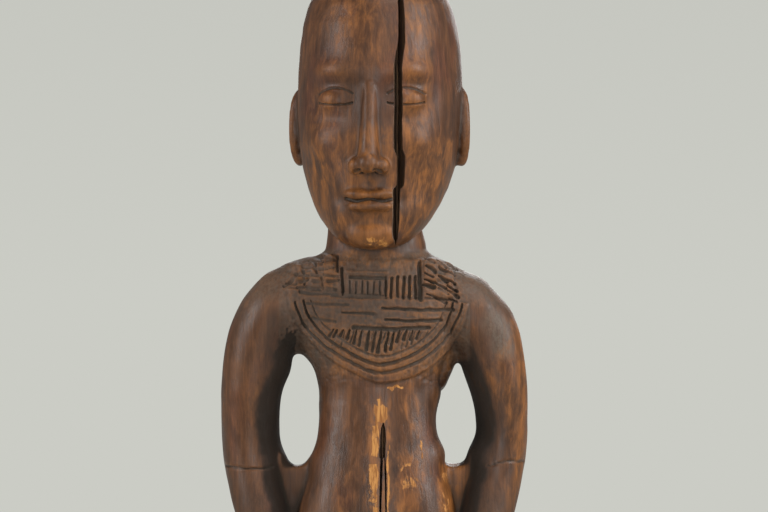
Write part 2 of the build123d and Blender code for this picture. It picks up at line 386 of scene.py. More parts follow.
@dataclass
class HeadForm:
    """The head's rough forms, made facing straight forward and then turned into place."""

    chin_z: float
    crown_z: float
    half_width: float = 33.0
    half_depth: float = 40.0
    turn: float = -6.0
    shift: float = 1.6

    @property
    def height(self) -> float:
        """Chin to crown."""
        return self.crown_z - self.chin_z

    @property
    def eye_z(self) -> float:
        """The eyes lie half way up the head."""
        return self.chin_z + self.height / 2

    @property
    def nose_z(self) -> float:
        """The nose ends half way from eyes to chin."""
        return (self.chin_z + self.eye_z) / 2

    @property
    def lips_z(self) -> float:
        """The lips part a third of the way from nose to chin."""
        return self.nose_z - (self.nose_z - self.chin_z) / 3

    @property
    def eye_x(self) -> float:
        """Half the distance between the eyes' middles: one eye's width lies between them."""
        return self.half_width * 0.44

    def skull(self) -> bpy.types.Object:
        """The egg of the skull and jaw."""
        w, d, z = self.half_width, self.half_depth, self.chin_z
        shares = (
            (0.000, 0.26, 0.18, -20.0),
            (0.034, 0.46, 0.36, -15.5),
            (0.100, 0.68, 0.60, -8.5),
            (0.200, 0.86, 0.82, -1.5),
            (0.356, 0.98, 0.96, 3.5),
            (0.525, 1.01, 1.00, 5.0),
            (0.695, 0.99, 0.97, 5.5),
            (0.830, 0.89, 0.86, 5.5),
            (0.924, 0.69, 0.68, 5.5),
            (0.975, 0.45, 0.45, 5.5),
            (1.000, 0.14, 0.14, 5.5),
        )
        levels = [Level(z + t * self.height, w * a, d * b, y) for t, a, b, y in shares]
        return raise_levels("skull", levels, segments=64)

    def nose(self) -> list[bpy.types.Object]:
        """A straight nose with two plain wings and a rounded tip."""
        z = self.nose_z
        bridge = raise_levels(
            "nose_bridge",
            [
                Level(z + 1.0, 5.2, 7.0, -35.0),
                Level(z + 4.0, 5.0, 7.4, -35.4),
                Level(z + 12.0, 3.9, 6.2, -35.2),
                Level(z + 22.0, 3.1, 4.4, -34.6),
                Level(self.eye_z + 3.0, 3.3, 3.6, -33.6),
                Level(self.eye_z + 9.0, 4.6, 3.0, -31.6),
            ],
            segments=24,
        )
        wing = Lump((5.2, -36.2, z + 3.4), (3.3, 4.6, 3.5))
        tip = Lump((0.0, -40.0, z + 4.4), (4.3, 4.2, 4.2))
        return [bridge, *model_pair("nose_wing", wing), model_lump("nose_tip", tip)]

    def eyes(self) -> list[bpy.types.Object]:
        """Closed almond lids."""
        lid = Lump((self.eye_x, -26.6, self.eye_z), (8.2, 5.0, 5.2), (0, 0, 26))
        return model_pair("eyelid", lid)

    def lips(self) -> list[bpy.types.Object]:
        """Calm, level lips."""
        z = self.lips_z
        upper = Lump((4.2, -31.4, z + 2.2), (7.4, 4.6, 2.5), (0, -3, 14))
        lower = Lump((0.0, -30.8, z - 2.5), (9.6, 5.0, 3.0))
        return [*model_pair("upper_lip", upper), model_lump("lower_lip", lower)]

    def chin(self) -> bpy.types.Object:
        """The rounded front of the jaw."""
        return model_lump("chin", Lump((0.0, -26.0, self.chin_z + 7.0), (10.5, 6.6, 6.8)))

    def ears(self) -> list[bpy.types.Object]:
        """Plain ears from brow to nose, each a plate with a raised rim and a lobe."""
        made: list[bpy.types.Object] = []
        z = (self.eye_z + self.nose_z) / 2 + 5.0
        for side in (-1, 1):
            x = side * (self.half_width - 0.4)
            deselect_all()
            bpy.ops.mesh.primitive_torus_add(
                major_segments=40,
                minor_segments=12,
                major_radius=9.0 * MM,
                minor_radius=1.9 * MM,
                location=(x * MM, 8.0 * MM, z * MM),
                rotation=(0.0, math.radians(90), 0.0),
            )
            rim = bpy.context.active_object
            rim.name = "ear_rim"
            rim.scale = (1.45, 0.72, 1.0)
            bpy.ops.object.transform_apply(location=False, rotation=False, scale=True)
            rim.rotation_euler.z = math.radians(side * 20)
            bpy.ops.object.transform_apply(location=True, rotation=True, scale=True)
            made.append(rim)
            plate = Lump((x - side * 1.4, 8.2, z), (2.2, 6.4, 13.0), (0, 0, side * 20))
            lobe = Lump((x - side * 0.6, 6.6, z - 11.5), (2.4, 3.6, 4.0), (0, 0, side * 20))
            flap = Lump((x - side * 0.9, 2.8, z - 1.5), (2.2, 2.2, 3.4))
            made += [model_lump("ear", part) for part in (plate, lobe, flap)]
        return made

    def build(self) -> bpy.types.Object:
        """Makes the whole head and turns it into place.

        Returns:
            The head as overlapping shells.
        """
        parts = [self.skull(), *self.nose(), *self.eyes(), *self.lips(), self.chin(), *self.ears()]
        head = fuse(parts, "head_shells")
        head.rotation_euler.z = math.radians(self.turn)
        head.location.x = self.shift * MM
        take(head)
        bpy.ops.object.transform_apply(location=True, rotation=True, scale=True)
        return head

    def straightened(self, points: np.ndarray) -> np.ndarray:
        """Places on the turned head, as they were while it faced straight forward."""
        turn = math.radians(-self.turn)
        x, y = points[:, 0] - self.shift, points[:, 1]
        out = points.copy()
        out[:, 0] = x * math.cos(turn) - y * math.sin(turn)
        out[:, 1] = x * math.sin(turn) + y * math.cos(turn)
        return out


@dataclass
class BodyForm:
    """The rough forms from the neck down: the frame's regions, with hands, feet, a whole trunk, wood in the
    gap corners, a girdle and an apron added.
    """

    nodes: dict[str, bpy.types.Object]
    base_top_z: float
    kept: tuple[str, ...] = (
        "neck", "chest", "abdomen", "hips", "right_web", "left_web", "right_upper_arm", "left_upper_arm",
        "right_forearm", "left_forearm", "right_thigh", "left_thigh", "right_calf", "left_calf",
        "right_foot", "left_foot", "base",
    )

    def hand(self) -> list[Lump]:
        """The left hand, laid flat on the front of the hip with its fingers pointing in and down."""
        palm = Lump((31.0, -19.0, 170.0), (8.4, 5.0, 11.0), (-14, 28, 0))
        wrist = Lump((36.0, -13.5, 178.0), (7.6, 7.0, 9.0), (-10, 24, 0))
        heel = Lump((29.0, -14.0, 168.0), (9.0, 9.0, 13.0), (0, 20, 0))
        thumb = Lump((22.0, -22.5, 170.5), (2.3, 2.6, 7.5), (-8, 52, 0))
        fingers = [
            Lump((19.2 + 3.6 * i, -23.0 + 0.9 * i, 160.5 - 1.9 * i), (2.1, 2.8, 8.6 - 0.4 * abs(i - 1.4)),
                 (-8, 36 - 4 * i, 0))
            for i in range(4)
        ]
        return [palm, wrist, heel, thumb, *fingers]

    def foot(self) -> list[Lump]:
        """The left foot's heel, ball and five toes, over the frame's plain wedge."""
        z = self.base_top_z
        heel = Lump((22.0, 15.0, z + 4.0), (8.6, 7.5, 9.5))
        ball = Lump((21.6, -16.0, z + 3.0), (11.6, 12.0, 8.0))
        toes = [
            Lump((13.4 + 4.1 * i, -29.5 + 0.9 * i, z + 2.6), (2.4 if i else 3.2, 6.4, 3.9 if i else 4.4))
            for i in range(5)
        ]
        return [heel, ball, *toes]

    def gap_corners(self) -> list[Lump]:
        """Wood left in the corners of the gaps beside the waist, not the same on both sides."""
        return [
            Lump((-30.8, 3.0, 268.6), (6.0, 7.0, 6.4)),
            Lump((28.0, 4.0, 259.0), (4.4, 8.0, 11.0), (0, 22, 0)),
            Lump((34.2, 4.0, 266.0), (5.0, 7.0, 7.0)),
            Lump((33.0, 4.5, 213.4), (8.0, 6.0, 5.6)),
        ]

    def core(self) -> bpy.types.Object:
        """A whole trunk without the frame's crack, raised to the spans of the frame's own trunk."""
        depsgraph = bpy.context.evaluated_depsgraph_get()
        trees = [BVHTree.FromObject(self.nodes[name], depsgraph) for name in ("hips", "abdomen")]
        levels = []
        for z in range(177, 250, 6):
            tree = trees[z > 187]
            front = tree.ray_cast(Vector((0.0, -1.0, z * MM)), Vector((0.0, 1.0, 0.0)))[0].y / MM
            back = tree.ray_cast(Vector((0.0, 1.0, z * MM)), Vector((0.0, -1.0, 0.0)))[0].y / MM
            middle = (front + back) / 2
            wide = tree.ray_cast(Vector((-1.0, middle * MM, z * MM)), Vector((1.0, 0.0, 0.0)))[0].x / -MM
            levels.append(Level(z, wide, (back - front) / 2, middle))
        return raise_levels("core", levels, segments=64)

    def apron(self) -> list[bpy.types.Object]:
        """A plain girdle cut round the hips, with a short apron in front."""
        band = raise_levels(
            "girdle",
            [
                Level(173.6, 36.4, 27.6, 3.8),
                Level(174.6, 37.4, 28.6, 3.7),
                Level(181.0, 36.4, 27.2, 2.6),
                Level(182.0, 35.2, 26.0, 2.4),
            ],
            segments=64,
        )
        flap = Lump((0.0, -19.0, 158.0), (9.5, 5.6, 19.0), (8, 0, 0))
        return [band, model_lump("apron", flap)]

    def build(self) -> bpy.types.Object:
        """Makes everything below the head.

        Returns:
            The body as overlapping shells.
        """
        shells = [copy_of(self.nodes[name], f"rough_{name}") for name in self.kept]
        for lump in [*self.hand(), *self.foot()]:
            shells += model_pair("swelling", lump)
        shells += [model_lump("gap_corner", lump) for lump in self.gap_corners()]
        shells += [self.core(), *self.apron()]
        return fuse(shells, "body_shells")


# ---------------------------------------------------------------------------------------------------
# Cutting
# ---------------------------------------------------------------------------------------------------


class Facing(Enum):
    """Which side of the figure a cut lies on."""

    FRONT = -1
    BACK = 1
    AROUND = 0


@dataclass(frozen=True)
class Cut:
    """One groove, drawn as a line of (x, z) places as seen from the front.

    A negative depth raises a ridge instead. Start and end are shares of the full width, and stain is
    how much dirt the groove holds.
    """

    line: tuple[tuple[float, float], ...]
    width: float = 1.1
    depth: float = 0.7
    facing: Facing = Facing.FRONT
    start: float = 1.0
    end: float = 1.0
    stain: float = 1.0

    def nearness(self, x: np.ndarray, z: np.ndarray) -> np.ndarray:
        """1 on the line, falling smoothly to 0 at half the groove's width from it."""
        nearest = np.full(len(x), 1e9)
        count = len(self.line) - 1
        for i, ((x0, z0), (x1, z1)) in enumerate(zip(self.line, self.line[1:])):
            dx, dz = x1 - x0, z1 - z0
            t = np.clip(((x - x0) * dx + (z - z0) * dz) / (dx * dx + dz * dz), 0.0, 1.0)
            share = self.start + (self.end - self.start) * (i + t) / count
            nearest = np.minimum(nearest, np.hypot(x - x0 - t * dx, z - z0 - t * dz) / share)
        inside = np.clip(1.0 - (nearest / (self.width / 2)) ** 2, 0.0, 1.0)
        return inside if self.depth > 0 else inside * inside


@dataclass(frozen=True)
class Press:
    """One place pressed in, or swelled out, with a soft edge."""

    centre: tuple[float, float, float]
    radius: tuple[float, float, float]
    height: float

    def lift(self, points: np.ndarray) -> np.ndarray:
        """How far each point moves along its outward direction."""
        away = (points - np.array(self.centre)) / np.array(self.radius)
        return self.height * np.exp(-np.sum(away * away, axis=1))


@dataclass(frozen=True)
class Patch:
    """A soft-edged field of the surface, as seen from the front, for raising or colouring."""

    low: tuple[float, float]
    high: tuple[float, float]
    strength: float = 1.0
    edge: float = 0.8

    def cover(self, x: np.ndarray, z: np.ndarray) -> np.ndarray:
        """How much of the strength falls on each place."""
        inside_x = band(x, self.low[0], self.low[0] + self.edge, self.high[0] - self.edge, self.high[0])
        inside_z = band(z, self.low[1], self.low[1] + self.edge, self.high[1] - self.edge, self.high[1])
        return self.strength * inside_x * inside_z


def bow(middle: tuple[float, float], half_width: float, drop: float, fullness: tuple[float, float]) -> tuple:
    """The points of one hanging arc.

    Args:
        middle: The middle of the level line that it hangs from.
        half_width: Half the arc's width.
        drop: How far its lowest point hangs.
        fullness: For each half, 2 for an oval, and less for one that comes to a point.

    Returns:
        (x, z) places from the left end to the right.
    """
    shares = np.sin(np.linspace(-1.42, 1.42, 44))
    hangs = np.sqrt(1 - np.abs(shares) ** np.where(shares < 0, *fullness))
    return tuple((middle[0] + half_width * u, middle[1] - drop * h) for u, h in zip(shares, hangs))


@dataclass
class ChestCarving:
    """The engraved crescent on the chest, the ladder under the neck, and the hatched shoulders."""

    middle: tuple[float, float] = (1.6, 287.0)
    half_width: float = 36.0
    drop: float = 35.8
    fullness: tuple[float, float] = (1.22, 1.70)
    proud: float = 0.95
    ladder_step: float = 2.35
    hatch_step: float = 2.45

    def raised(self, x: np.ndarray, z: np.ndarray) -> np.ndarray:
        """How far each place stands proud: the crescent and the two shoulder blocks."""
        across = np.abs(x - self.middle[0]) / self.half_width
        hang = np.maximum(self.middle[1] - z, 0.0) / self.drop
        left, right = across ** self.fullness[0] + hang**2, across ** (self.fullness[1] + 0.3) + hang**2
        reach = np.where(x < self.middle[0], left, right)
        top_edge = 288.2 - 0.075 * (x + 34)
        crescent = (1 - ease(reach, 0.95, 1.03)) * (1 - ease(z, top_edge - 0.3, top_edge + 0.7))
        left_block = Patch((-31.0, 287.4), (-13.8, 298.0), 0.8, 1.2).cover(x, z)
        right_block = Patch((19.0, 284.4), (32.0, 300.5), 0.7, 1.2).cover(x, z)
        post = Patch((-20.8, 287.4), (-15.6, 302.5), 1.1, 1.2).cover(x, z)
        return self.proud * np.maximum(np.maximum(crescent, post), np.maximum(left_block, right_block))

    def cuts(self) -> list[Cut]:
        """Every groove of the chest."""
        rng = np.random.default_rng(SEED)
        low_band = tuple((x, 286.9 - 0.045 * (x + 28)) for x in (-29.0, -20.0, -9.0))
        made = [
            *self.arc(33.4, 31.8, 2.1, 0.85),
            *self.arc(30.0, 28.4, 2.1, 1.10),
            *self.arc(26.8, 25.2, 1.5, 0.50),
            Cut(low_band, 2.2, 0.8, end=0.7),
            Cut(((-27.0, 282.6), (-10.0, 282.0)), 1.5, 0.45),
            Cut(((-12.5, 279.2), (-0.5, 278.6)), 1.7, 0.6, start=0.5),
            Cut(((3.0, 280.7), (18.0, 280.1), (31.0, 280.3)), 1.8, 0.95, start=0.7),
            Cut(((4.2, 276.3), (15.0, 275.7), (26.0, 276.4)), 1.8, 1.0, start=0.6),
            Cut(((-8.0, 273.2), (8.0, 272.6), (21.0, 273.2)), 2.1, 1.05),
            Cut(((-24.0, 277.0), (-15.0, 275.6)), 1.6, 0.45),
            Cut(((-14.9, 301.5), (-14.7, 295.6)), 1.4, 1.2),
            Cut(((-12.9, 296.6), (-12.7, 286.2)), 1.5, 1.5),
            Cut(((17.9, 299.5), (18.2, 284.6)), 2.6, 1.7, start=0.6),
            Cut(((-9.6, 293.2), (4.6, 292.8)), 1.7, 1.0),
            Cut(((-16.5, 285.9), (-4.0, 285.6), (4.0, 285.2)), 2.4, 0.8),
            Cut(((-10.5, 295.2), (5.0, 294.9)), 2.2, -0.5),
        ]
        for x in np.arange(-9.6, 16.4, self.ladder_step):
            sway = rng.uniform(-0.25, 0.25, 2)
            bold = x > 3.0
            top, low = 291.8 + rng.uniform(-0.4, 0.4), 285.0 + rng.uniform(-0.4, 0.4)
            line = ((x + sway[0], top + 1.4 * bold), (x + sway[1], low))
            made.append(Cut(line, 1.45 if bold else 1.25, 1.25 if bold else 0.6))
        for x in np.arange(-17.4, 18.6, self.hatch_step):
            made.append(self.hatch_stroke(x + rng.uniform(-0.5, 0.5), rng))
        for x in np.arange(-15.0, 20.0, 1.9):
            x0, low = x + rng.uniform(-0.7, 0.7), rng.uniform(264.5, 269.5)
            made.append(Cut(((x0 + 0.8, 272.0), (x0 - 0.8, low)), 1.0, rng.uniform(0.3, 0.6), start=0.6))
        return made + self.shoulder_cuts(rng)

    def arc(self, half_width: float, drop: float, width: float, depth: float) -> list[Cut]:
        """One hanging arc, as two strokes that thin out towards the top."""
        line = bow(self.middle, half_width, drop, self.fullness)
        lowest = len(line) // 2
        return [Cut(line[: lowest + 1], width, depth, start=0.4), Cut(line[lowest:], width, depth, end=0.4)]

    def hatch_stroke(self, x: float, rng: np.random.Generator) -> Cut:
        """One stroke of the hatching: a chisel cut that widens as it goes down."""
        share = abs((x - self.middle[0]) / 25.0)
        floor = self.middle[1] - 24.2 * math.sqrt(max(0.0, 1 - share ** self.fullness[x > self.middle[0]]))
        low = max(floor, 262.6 if x < 7.0 else 267.4) + rng.uniform(0.0, 1.6)
        low = min(low, 269.8)
        line = ((x + 0.7, 272.4), (x - 0.6, low))
        return Cut(line, rng.uniform(1.5, 2.0), rng.uniform(0.95, 1.3), start=0.45)

    def shoulder_cuts(self, rng: np.random.Generator) -> list[Cut]:
        """Rough chip cutting on both shoulders, level on the one and slanting on the other."""
        made = []
        for row, z in enumerate((288.9, 291.4, 293.9, 296.6, 299.4)):
            for x in np.arange(-31.0 + 1.9 * (row % 2), -17.0, 5.4):
                x0, length = x + rng.uniform(-1.2, 1.2), rng.uniform(3.0, 5.4)
                tilt = rng.uniform(-0.8, 0.8)
                line = ((x0, z), (x0 + length, z + tilt))
                made.append(Cut(line, rng.uniform(2.2, 3.4), rng.uniform(0.4, 1.0),
                                start=0.7, end=0.5, stain=0.55))
        for x, top, low in ((-28.2, 295.5, 290.0), (-23.4, 299.0, 294.5), (-20.9, 293.0, 288.4)):
            made.append(Cut(((x, top), (x + 0.5, low)), 1.9, 0.9, end=0.5, stain=0.6))
        for z in np.arange(287.0, 303.0, 2.75):
            for x in (19.8, 24.6, 29.0):
                x0, z0 = x + rng.uniform(-0.9, 0.9), z + rng.uniform(-0.7, 0.7) - 0.3 * (x - 20.0)
                line = ((x0, z0), (x0 + rng.uniform(2.8, 4.4), z0 - rng.uniform(1.2, 2.6)))
                made.append(Cut(line, rng.uniform(1.8, 2.9), rng.uniform(0.7, 1.5), start=0.4, end=0.7,
                                stain=0.9 if x < 24.0 else 0.45))
        made.append(Cut(((-36.0, 289.5), (-29.5, 294.5)), 1.6, 0.6))
        made.append(Cut(((24.5, 284.9), (32.5, 283.4)), 1.2, 0.5))
        return made


@dataclass
class LimbCarving:
    """The lines cut into arms, hips and back, and the swellings and hollows pressed into the limbs and trunk.
    """

    crease_left: float = 217.2
    crease_right: float = 220.0

    def cuts(self) -> list[Cut]:
        """The crease across each elbow, the girdle's hatching, and the lines of the apron."""
        made = [
            Cut(((-60.5, self.crease_left + 0.6), (-52.0, self.crease_left - 0.4), (-41.0, self.crease_left)),
                1.6, 0.5, start=0.5, end=0.7),
            Cut(((44.0, self.crease_right - 2.2), (53.0, self.crease_right), (60.5, self.crease_right - 0.6)),
                1.3, 0.4, start=0.5),
            Cut(((-38.0, 174.4), (38.0, 174.4)), 1.1, 0.5, Facing.AROUND),
            Cut(((-38.0, 181.4), (38.0, 181.4)), 1.1, 0.5, Facing.AROUND),
        ]
        for facing in (Facing.FRONT, Facing.BACK):
            for x in np.arange(-33.0, 34.0, 3.3):
                made.append(Cut(((x, 180.4), (x + 1.8, 175.4)), 0.95, 0.5, facing))
        for x in (-4.6, 0.0, 4.6):
            made.append(Cut(((x * 0.8, 171.5), (x, 145.0)), 1.0, 0.5))
        made += [
            Cut(((0.0, 297.0), (0.0, 240.0), (0.0, 187.0)), 19.0, 1.3, Facing.BACK, start=0.7, stain=0.0),
            Cut(((0.0, 172.0), (0.0, 146.0)), 4.4, 1.9, Facing.BACK, stain=0.35),
        ]
        return made

    def presses(self) -> list[Press]:
        """Muscles and bones under the skin, and the left arm's hollow inner side."""
        made = [
            Press((40.0, 0.0, 232.0), (9.0, 24.0, 15.0), -2.3),
            Press((-27.0, 0.0, 257.0), (6.0, 20.0, 7.0), -1.3),
            Press((-36.0, 0.0, 257.0), (5.0, 20.0, 7.0), 1.6),
            Press((25.5, 0.0, 247.0), (5.0, 20.0, 6.5), 2.4),
            Press((-37.5, 0.0, 221.0), (4.5, 20.0, 5.5), 1.8),
            Press((-25.0, 0.0, 221.0), (4.5, 20.0, 5.5), 1.4),
            Press((26.0, 0.0, 223.0), (4.5, 20.0, 5.5), 2.2),
            Press((39.0, 0.0, 223.0), (4.5, 20.0, 5.5), 2.2),
            Press((-42.0, 2.0, 296.0), (8.0, 14.0, 5.0), 2.2),
            Press((-26.0, 2.0, 302.5), (5.0, 14.0, 5.0), 1.3),
            Press((-34.0, 2.0, 298.5), (6.0, 14.0, 4.0), 0.6),
            Press((23.5, 2.0, 302.5), (4.5, 14.0, 4.0), 1.2),
            Press((34.0, 2.0, 299.0), (6.0, 14.0, 4.0), -1.0),
            Press((50.0, 0.0, 287.0), (7.0, 14.0, 9.0), -1.7),
            Press((20.0, 2.0, 307.0), (5.0, 14.0, 5.0), 1.1),
            Press((-38.0, 0.0, 240.0), (6.0, 24.0, 12.0), 0.9),
        ]
        for side in (-1, 1):
            made += [
                Press((side * 16.0, 24.0, 277.0), (9.0, 16.0, 12.0), 1.5),
                Press((side * 15.0, 30.0, 164.0), (13.0, 16.0, 12.0), 3.0),
                Press((side * 20.6, -20.0, 99.0), (7.0, 9.0, 8.0), 1.3),
                Press((side * 21.5, 20.0, 76.0), (11.0, 12.0, 17.0), 1.3),
                Press((side * 31.5, 5.0, 41.0), (5.0, 5.0, 4.0), 1.2),
                Press((side * 13.0, 5.0, 42.0), (5.0, 5.0, 4.0), 1.1),
            ]
        return made


@dataclass
class FaceCarving:
    """The fine lines of the face, drawn while it faces straight forward."""

    head: HeadForm

    def cuts(self) -> list[Cut]:
        """Lid slits, lid folds, the line of the lips, and the nostrils."""
        h = self.head
        made = []
        for side in (-1, 1):
            across = np.linspace(-7.2, 7.2, 13)
            slit = tuple((side * (h.eye_x + a), h.eye_z - 1.2 - 0.9 * (1 - (a / 7.2) ** 2)) for a in across)
            fold = tuple((side * (h.eye_x + a), h.eye_z + 2.4 + 2.4 * (1 - (a / 7.4) ** 2)) for a in across)
            made += [Cut(slit, 1.1, 0.75), Cut(fold, 1.1, 0.5)]
            made.append(Cut(((side * 3.1, h.nose_z + 1.2), (side * 5.0, h.nose_z + 1.0)), 2.4, 1.1))
        across = np.linspace(-10.4, 10.4, 17)
        parting = tuple((a, h.lips_z - 0.15 + 0.35 * math.cos(a * 0.6)) for a in across)
        made.append(Cut(parting, 1.2, 1.0))
        return made

    def presses(self) -> list[Press]:
        """Soft hollows and swellings of the face."""
        h = self.head
        made = [
            Press((0.0, -36.0, h.nose_z - 4.0), (2.0, 9.0, 3.2), -0.6),
            Press((0.0, -32.0, h.lips_z - 7.4), (7.0, 9.0, 3.4), -1.0),
            Press((0.0, -36.0, h.eye_z + 4.0), (5.0, 9.0, 5.0), -0.5),
        ]
        for side in (-1, 1):
            made += [
                Press((side * (h.eye_x - 7.0), -31.0, h.eye_z + 1.5), (4.0, 8.0, 5.5), -1.9),
                Press((side * h.eye_x, -31.0, h.eye_z + 6.4), (8.5, 9.0, 2.6), -0.9),
                Press((side * h.eye_x, -31.0, h.eye_z - 7.4), (8.5, 9.0, 3.2), -1.1),
                Press((side * (h.eye_x + 9.0), -24.0, h.eye_z), (4.0, 9.0, 5.5), -1.0),
                Press((side * (h.eye_x + 1.0), -28.0, h.eye_z + 11.8), (9.5, 9.0, 4.2), 1.7),
                Press((side * 18.5, -25.0, h.nose_z + 13.5), (8.0, 10.0, 6.5), 1.9),
                Press((side * 19.0, -24.0, h.lips_z + 4.0), (7.5, 10.0, 8.0), -1.5),
                Press((side * 12.4, -31.0, h.lips_z), (3.0, 8.0, 3.4), -0.9),
                Press((side * 30.0, -14.0, h.eye_z + 16.0), (12.0, 14.0, 12.0), -1.0),
            ]
        return made


@dataclass
class Crack:
    """A seasoning crack: a torn wedge from the surface in towards the heart of the log."""

    name: str
    path: tuple[tuple[float, float], ...]
    mouths: tuple[tuple[float, float], ...]
    front_y: float
    narrow_y: float
    tip: tuple[float, float]
    tip_width: float = 0.7
    tear: float = 0.22
    step: float = 0.7

    def blade(self, noise: Noise) -> bpy.types.Object:
        """The wedge that opens the crack, as one closed blade.

        Args:
            noise: What makes its walls uneven.

        Returns:
            The blade.
        """
        low, high = self.path[0][0], self.path[-1][0]
        count = int((high - low) / self.step)
        deselect_all()
        bpy.ops.mesh.primitive_cube_add(size=1.0, location=(0.0, 0.0, 0.5))
        blade = bpy.context.active_object
        blade.name = self.name
        bpy.ops.object.transform_apply(location=True, rotation=True, scale=True)
        self.divide(blade, 2, count)
        self.divide(blade, 1, 8)
        raw = points_of(blade) * MM
        z = low + raw[:, 2] * (high - low)
        depth = np.clip(raw[:, 1] + 0.5, 0.0, 1.0)
        y = self.front_y + depth * (self.tip[1] - self.front_y)
        heights = [p[0] for p in self.path]
        mouth_x = np.interp(z, heights, [p[1] for p in self.path])
        width = np.interp(z, [m[0] for m in self.mouths], [m[1] for m in self.mouths])
        inward = np.clip((y - self.narrow_y) / (self.tip[1] - self.narrow_y), 0.0, 1.0)
        centre = mouth_x + inward * (self.tip[0] - mouth_x)
        half = (width * (1 - inward) + self.tip_width * inward) / 2
        side = np.sign(raw[:, 0])
        torn = self.tear * noise.rich(np.column_stack([side * 31.0, y * 0.35, z]), 2.2, 3)
        wander = self.tear * 1.2 * noise.at(np.column_stack([np.zeros(len(z)), y * 0.1, z]), 9.0)
        x = centre + side * np.maximum(half + torn, 0.15) + wander
        move_points(blade, np.column_stack([x, y, z]))
        edit(blade)
        bpy.ops.mesh.normals_make_consistent(inside=False)
        leave_edit()
        return blade

    @staticmethod
    def divide(blade: bpy.types.Object, axis: int, count: int) -> None:
        """Divides the blade's edges that run along one axis."""
        points, edges = points_of(blade), edges_of(blade)
        along = np.abs(points[edges[:, 0]] - points[edges[:, 1]])
        chosen = np.argmax(along, axis=1) == axis
        edit(blade)
        bpy.ops.mesh.select_all(action="DESELECT")
        bpy.ops.mesh.select_mode(type="EDGE")
        leave_edit()
        blade.data.edges.foreach_set("select", chosen)
        take(blade)
        bpy.ops.object.mode_set(mode="EDIT")
        bpy.ops.mesh.subdivide(number_cuts=count)
        bpy.ops.mesh.select_mode(type="FACE")
        leave_edit()


# ---------------------------------------------------------------------------------------------------
# The block
# ---------------------------------------------------------------------------------------------------


@dataclass
class Depth:
    """How deeply each place lies in among the wood, from a blurred plan of the solid."""

    obj: bpy.types.Object
    cell: float = 2.0
    margin: float = 24.0
    density: dict[float, np.ndarray] = field(default_factory=dict)

    def __post_init__(self) -> None:
        """Fills a grid of cells with 1 inside the wood and 0 outside."""
        points = points_of(self.obj)
        self.low = points.min(0) - self.margin
        counts = np.ceil((points.max(0) + self.margin - self.low) / self.cell).astype(int)
        tree = BVHTree.FromObject(self.obj, bpy.context.evaluated_depsgraph_get())
        solid = np.zeros(counts)
        up = Vector((0.0, 0.0, 1.0))
        centres = self.low[2] + (np.arange(counts[2]) + 0.5) * self.cell
        for i in range(counts[0]):
            for j in range(counts[1]):
                x, y = self.low[0] + (i + 0.5) * self.cell, self.low[1] + (j + 0.5) * self.cell
                start, crossings = Vector((x * MM, y * MM, -1.0)), []
                hit = tree.ray_cast(start, up)
                while hit[0] is not None and len(crossings) < 40:
                    crossings.append(hit[0].z / MM)
                    hit = tree.ray_cast(hit[0] + up * 1e-5, up)
                for enter, leave in zip(crossings[::2], crossings[1::2]):
                    solid[i, j, (centres > enter) & (centres < leave)] = 1.0
        self.solid = solid

    def blurred(self, reach: float) -> np.ndarray:
        """The share of wood around each cell, out to about a given reach."""
        if reach not in self.density:
            result = np.fft.rfftn(self.solid)
            for axis, count in enumerate(self.solid.shape):
                real = axis == len(self.solid.shape) - 1
                waves = np.fft.rfftfreq(count) if real else np.fft.fftfreq(count)
                damping = np.exp(-2 * (math.pi * waves * reach / self.cell) ** 2)
                result = result * damping.reshape([-1 if a == axis else 1 for a in range(3)])
            self.density[reach] = np.fft.irfftn(result, self.solid.shape)
        return self.density[reach]

    def at(self, points: np.ndarray, reach: float) -> np.ndarray:
        """The share of wood around each point: a half on a flat face, more in a hollow."""
        grid = self.blurred(reach)
        place = (points - self.low) / self.cell - 0.5
        cell = np.clip(np.floor(place).astype(int), 0, np.array(grid.shape) - 2)
        return blend_corners(grid, cell, np.clip(place - cell, 0.0, 1.0))


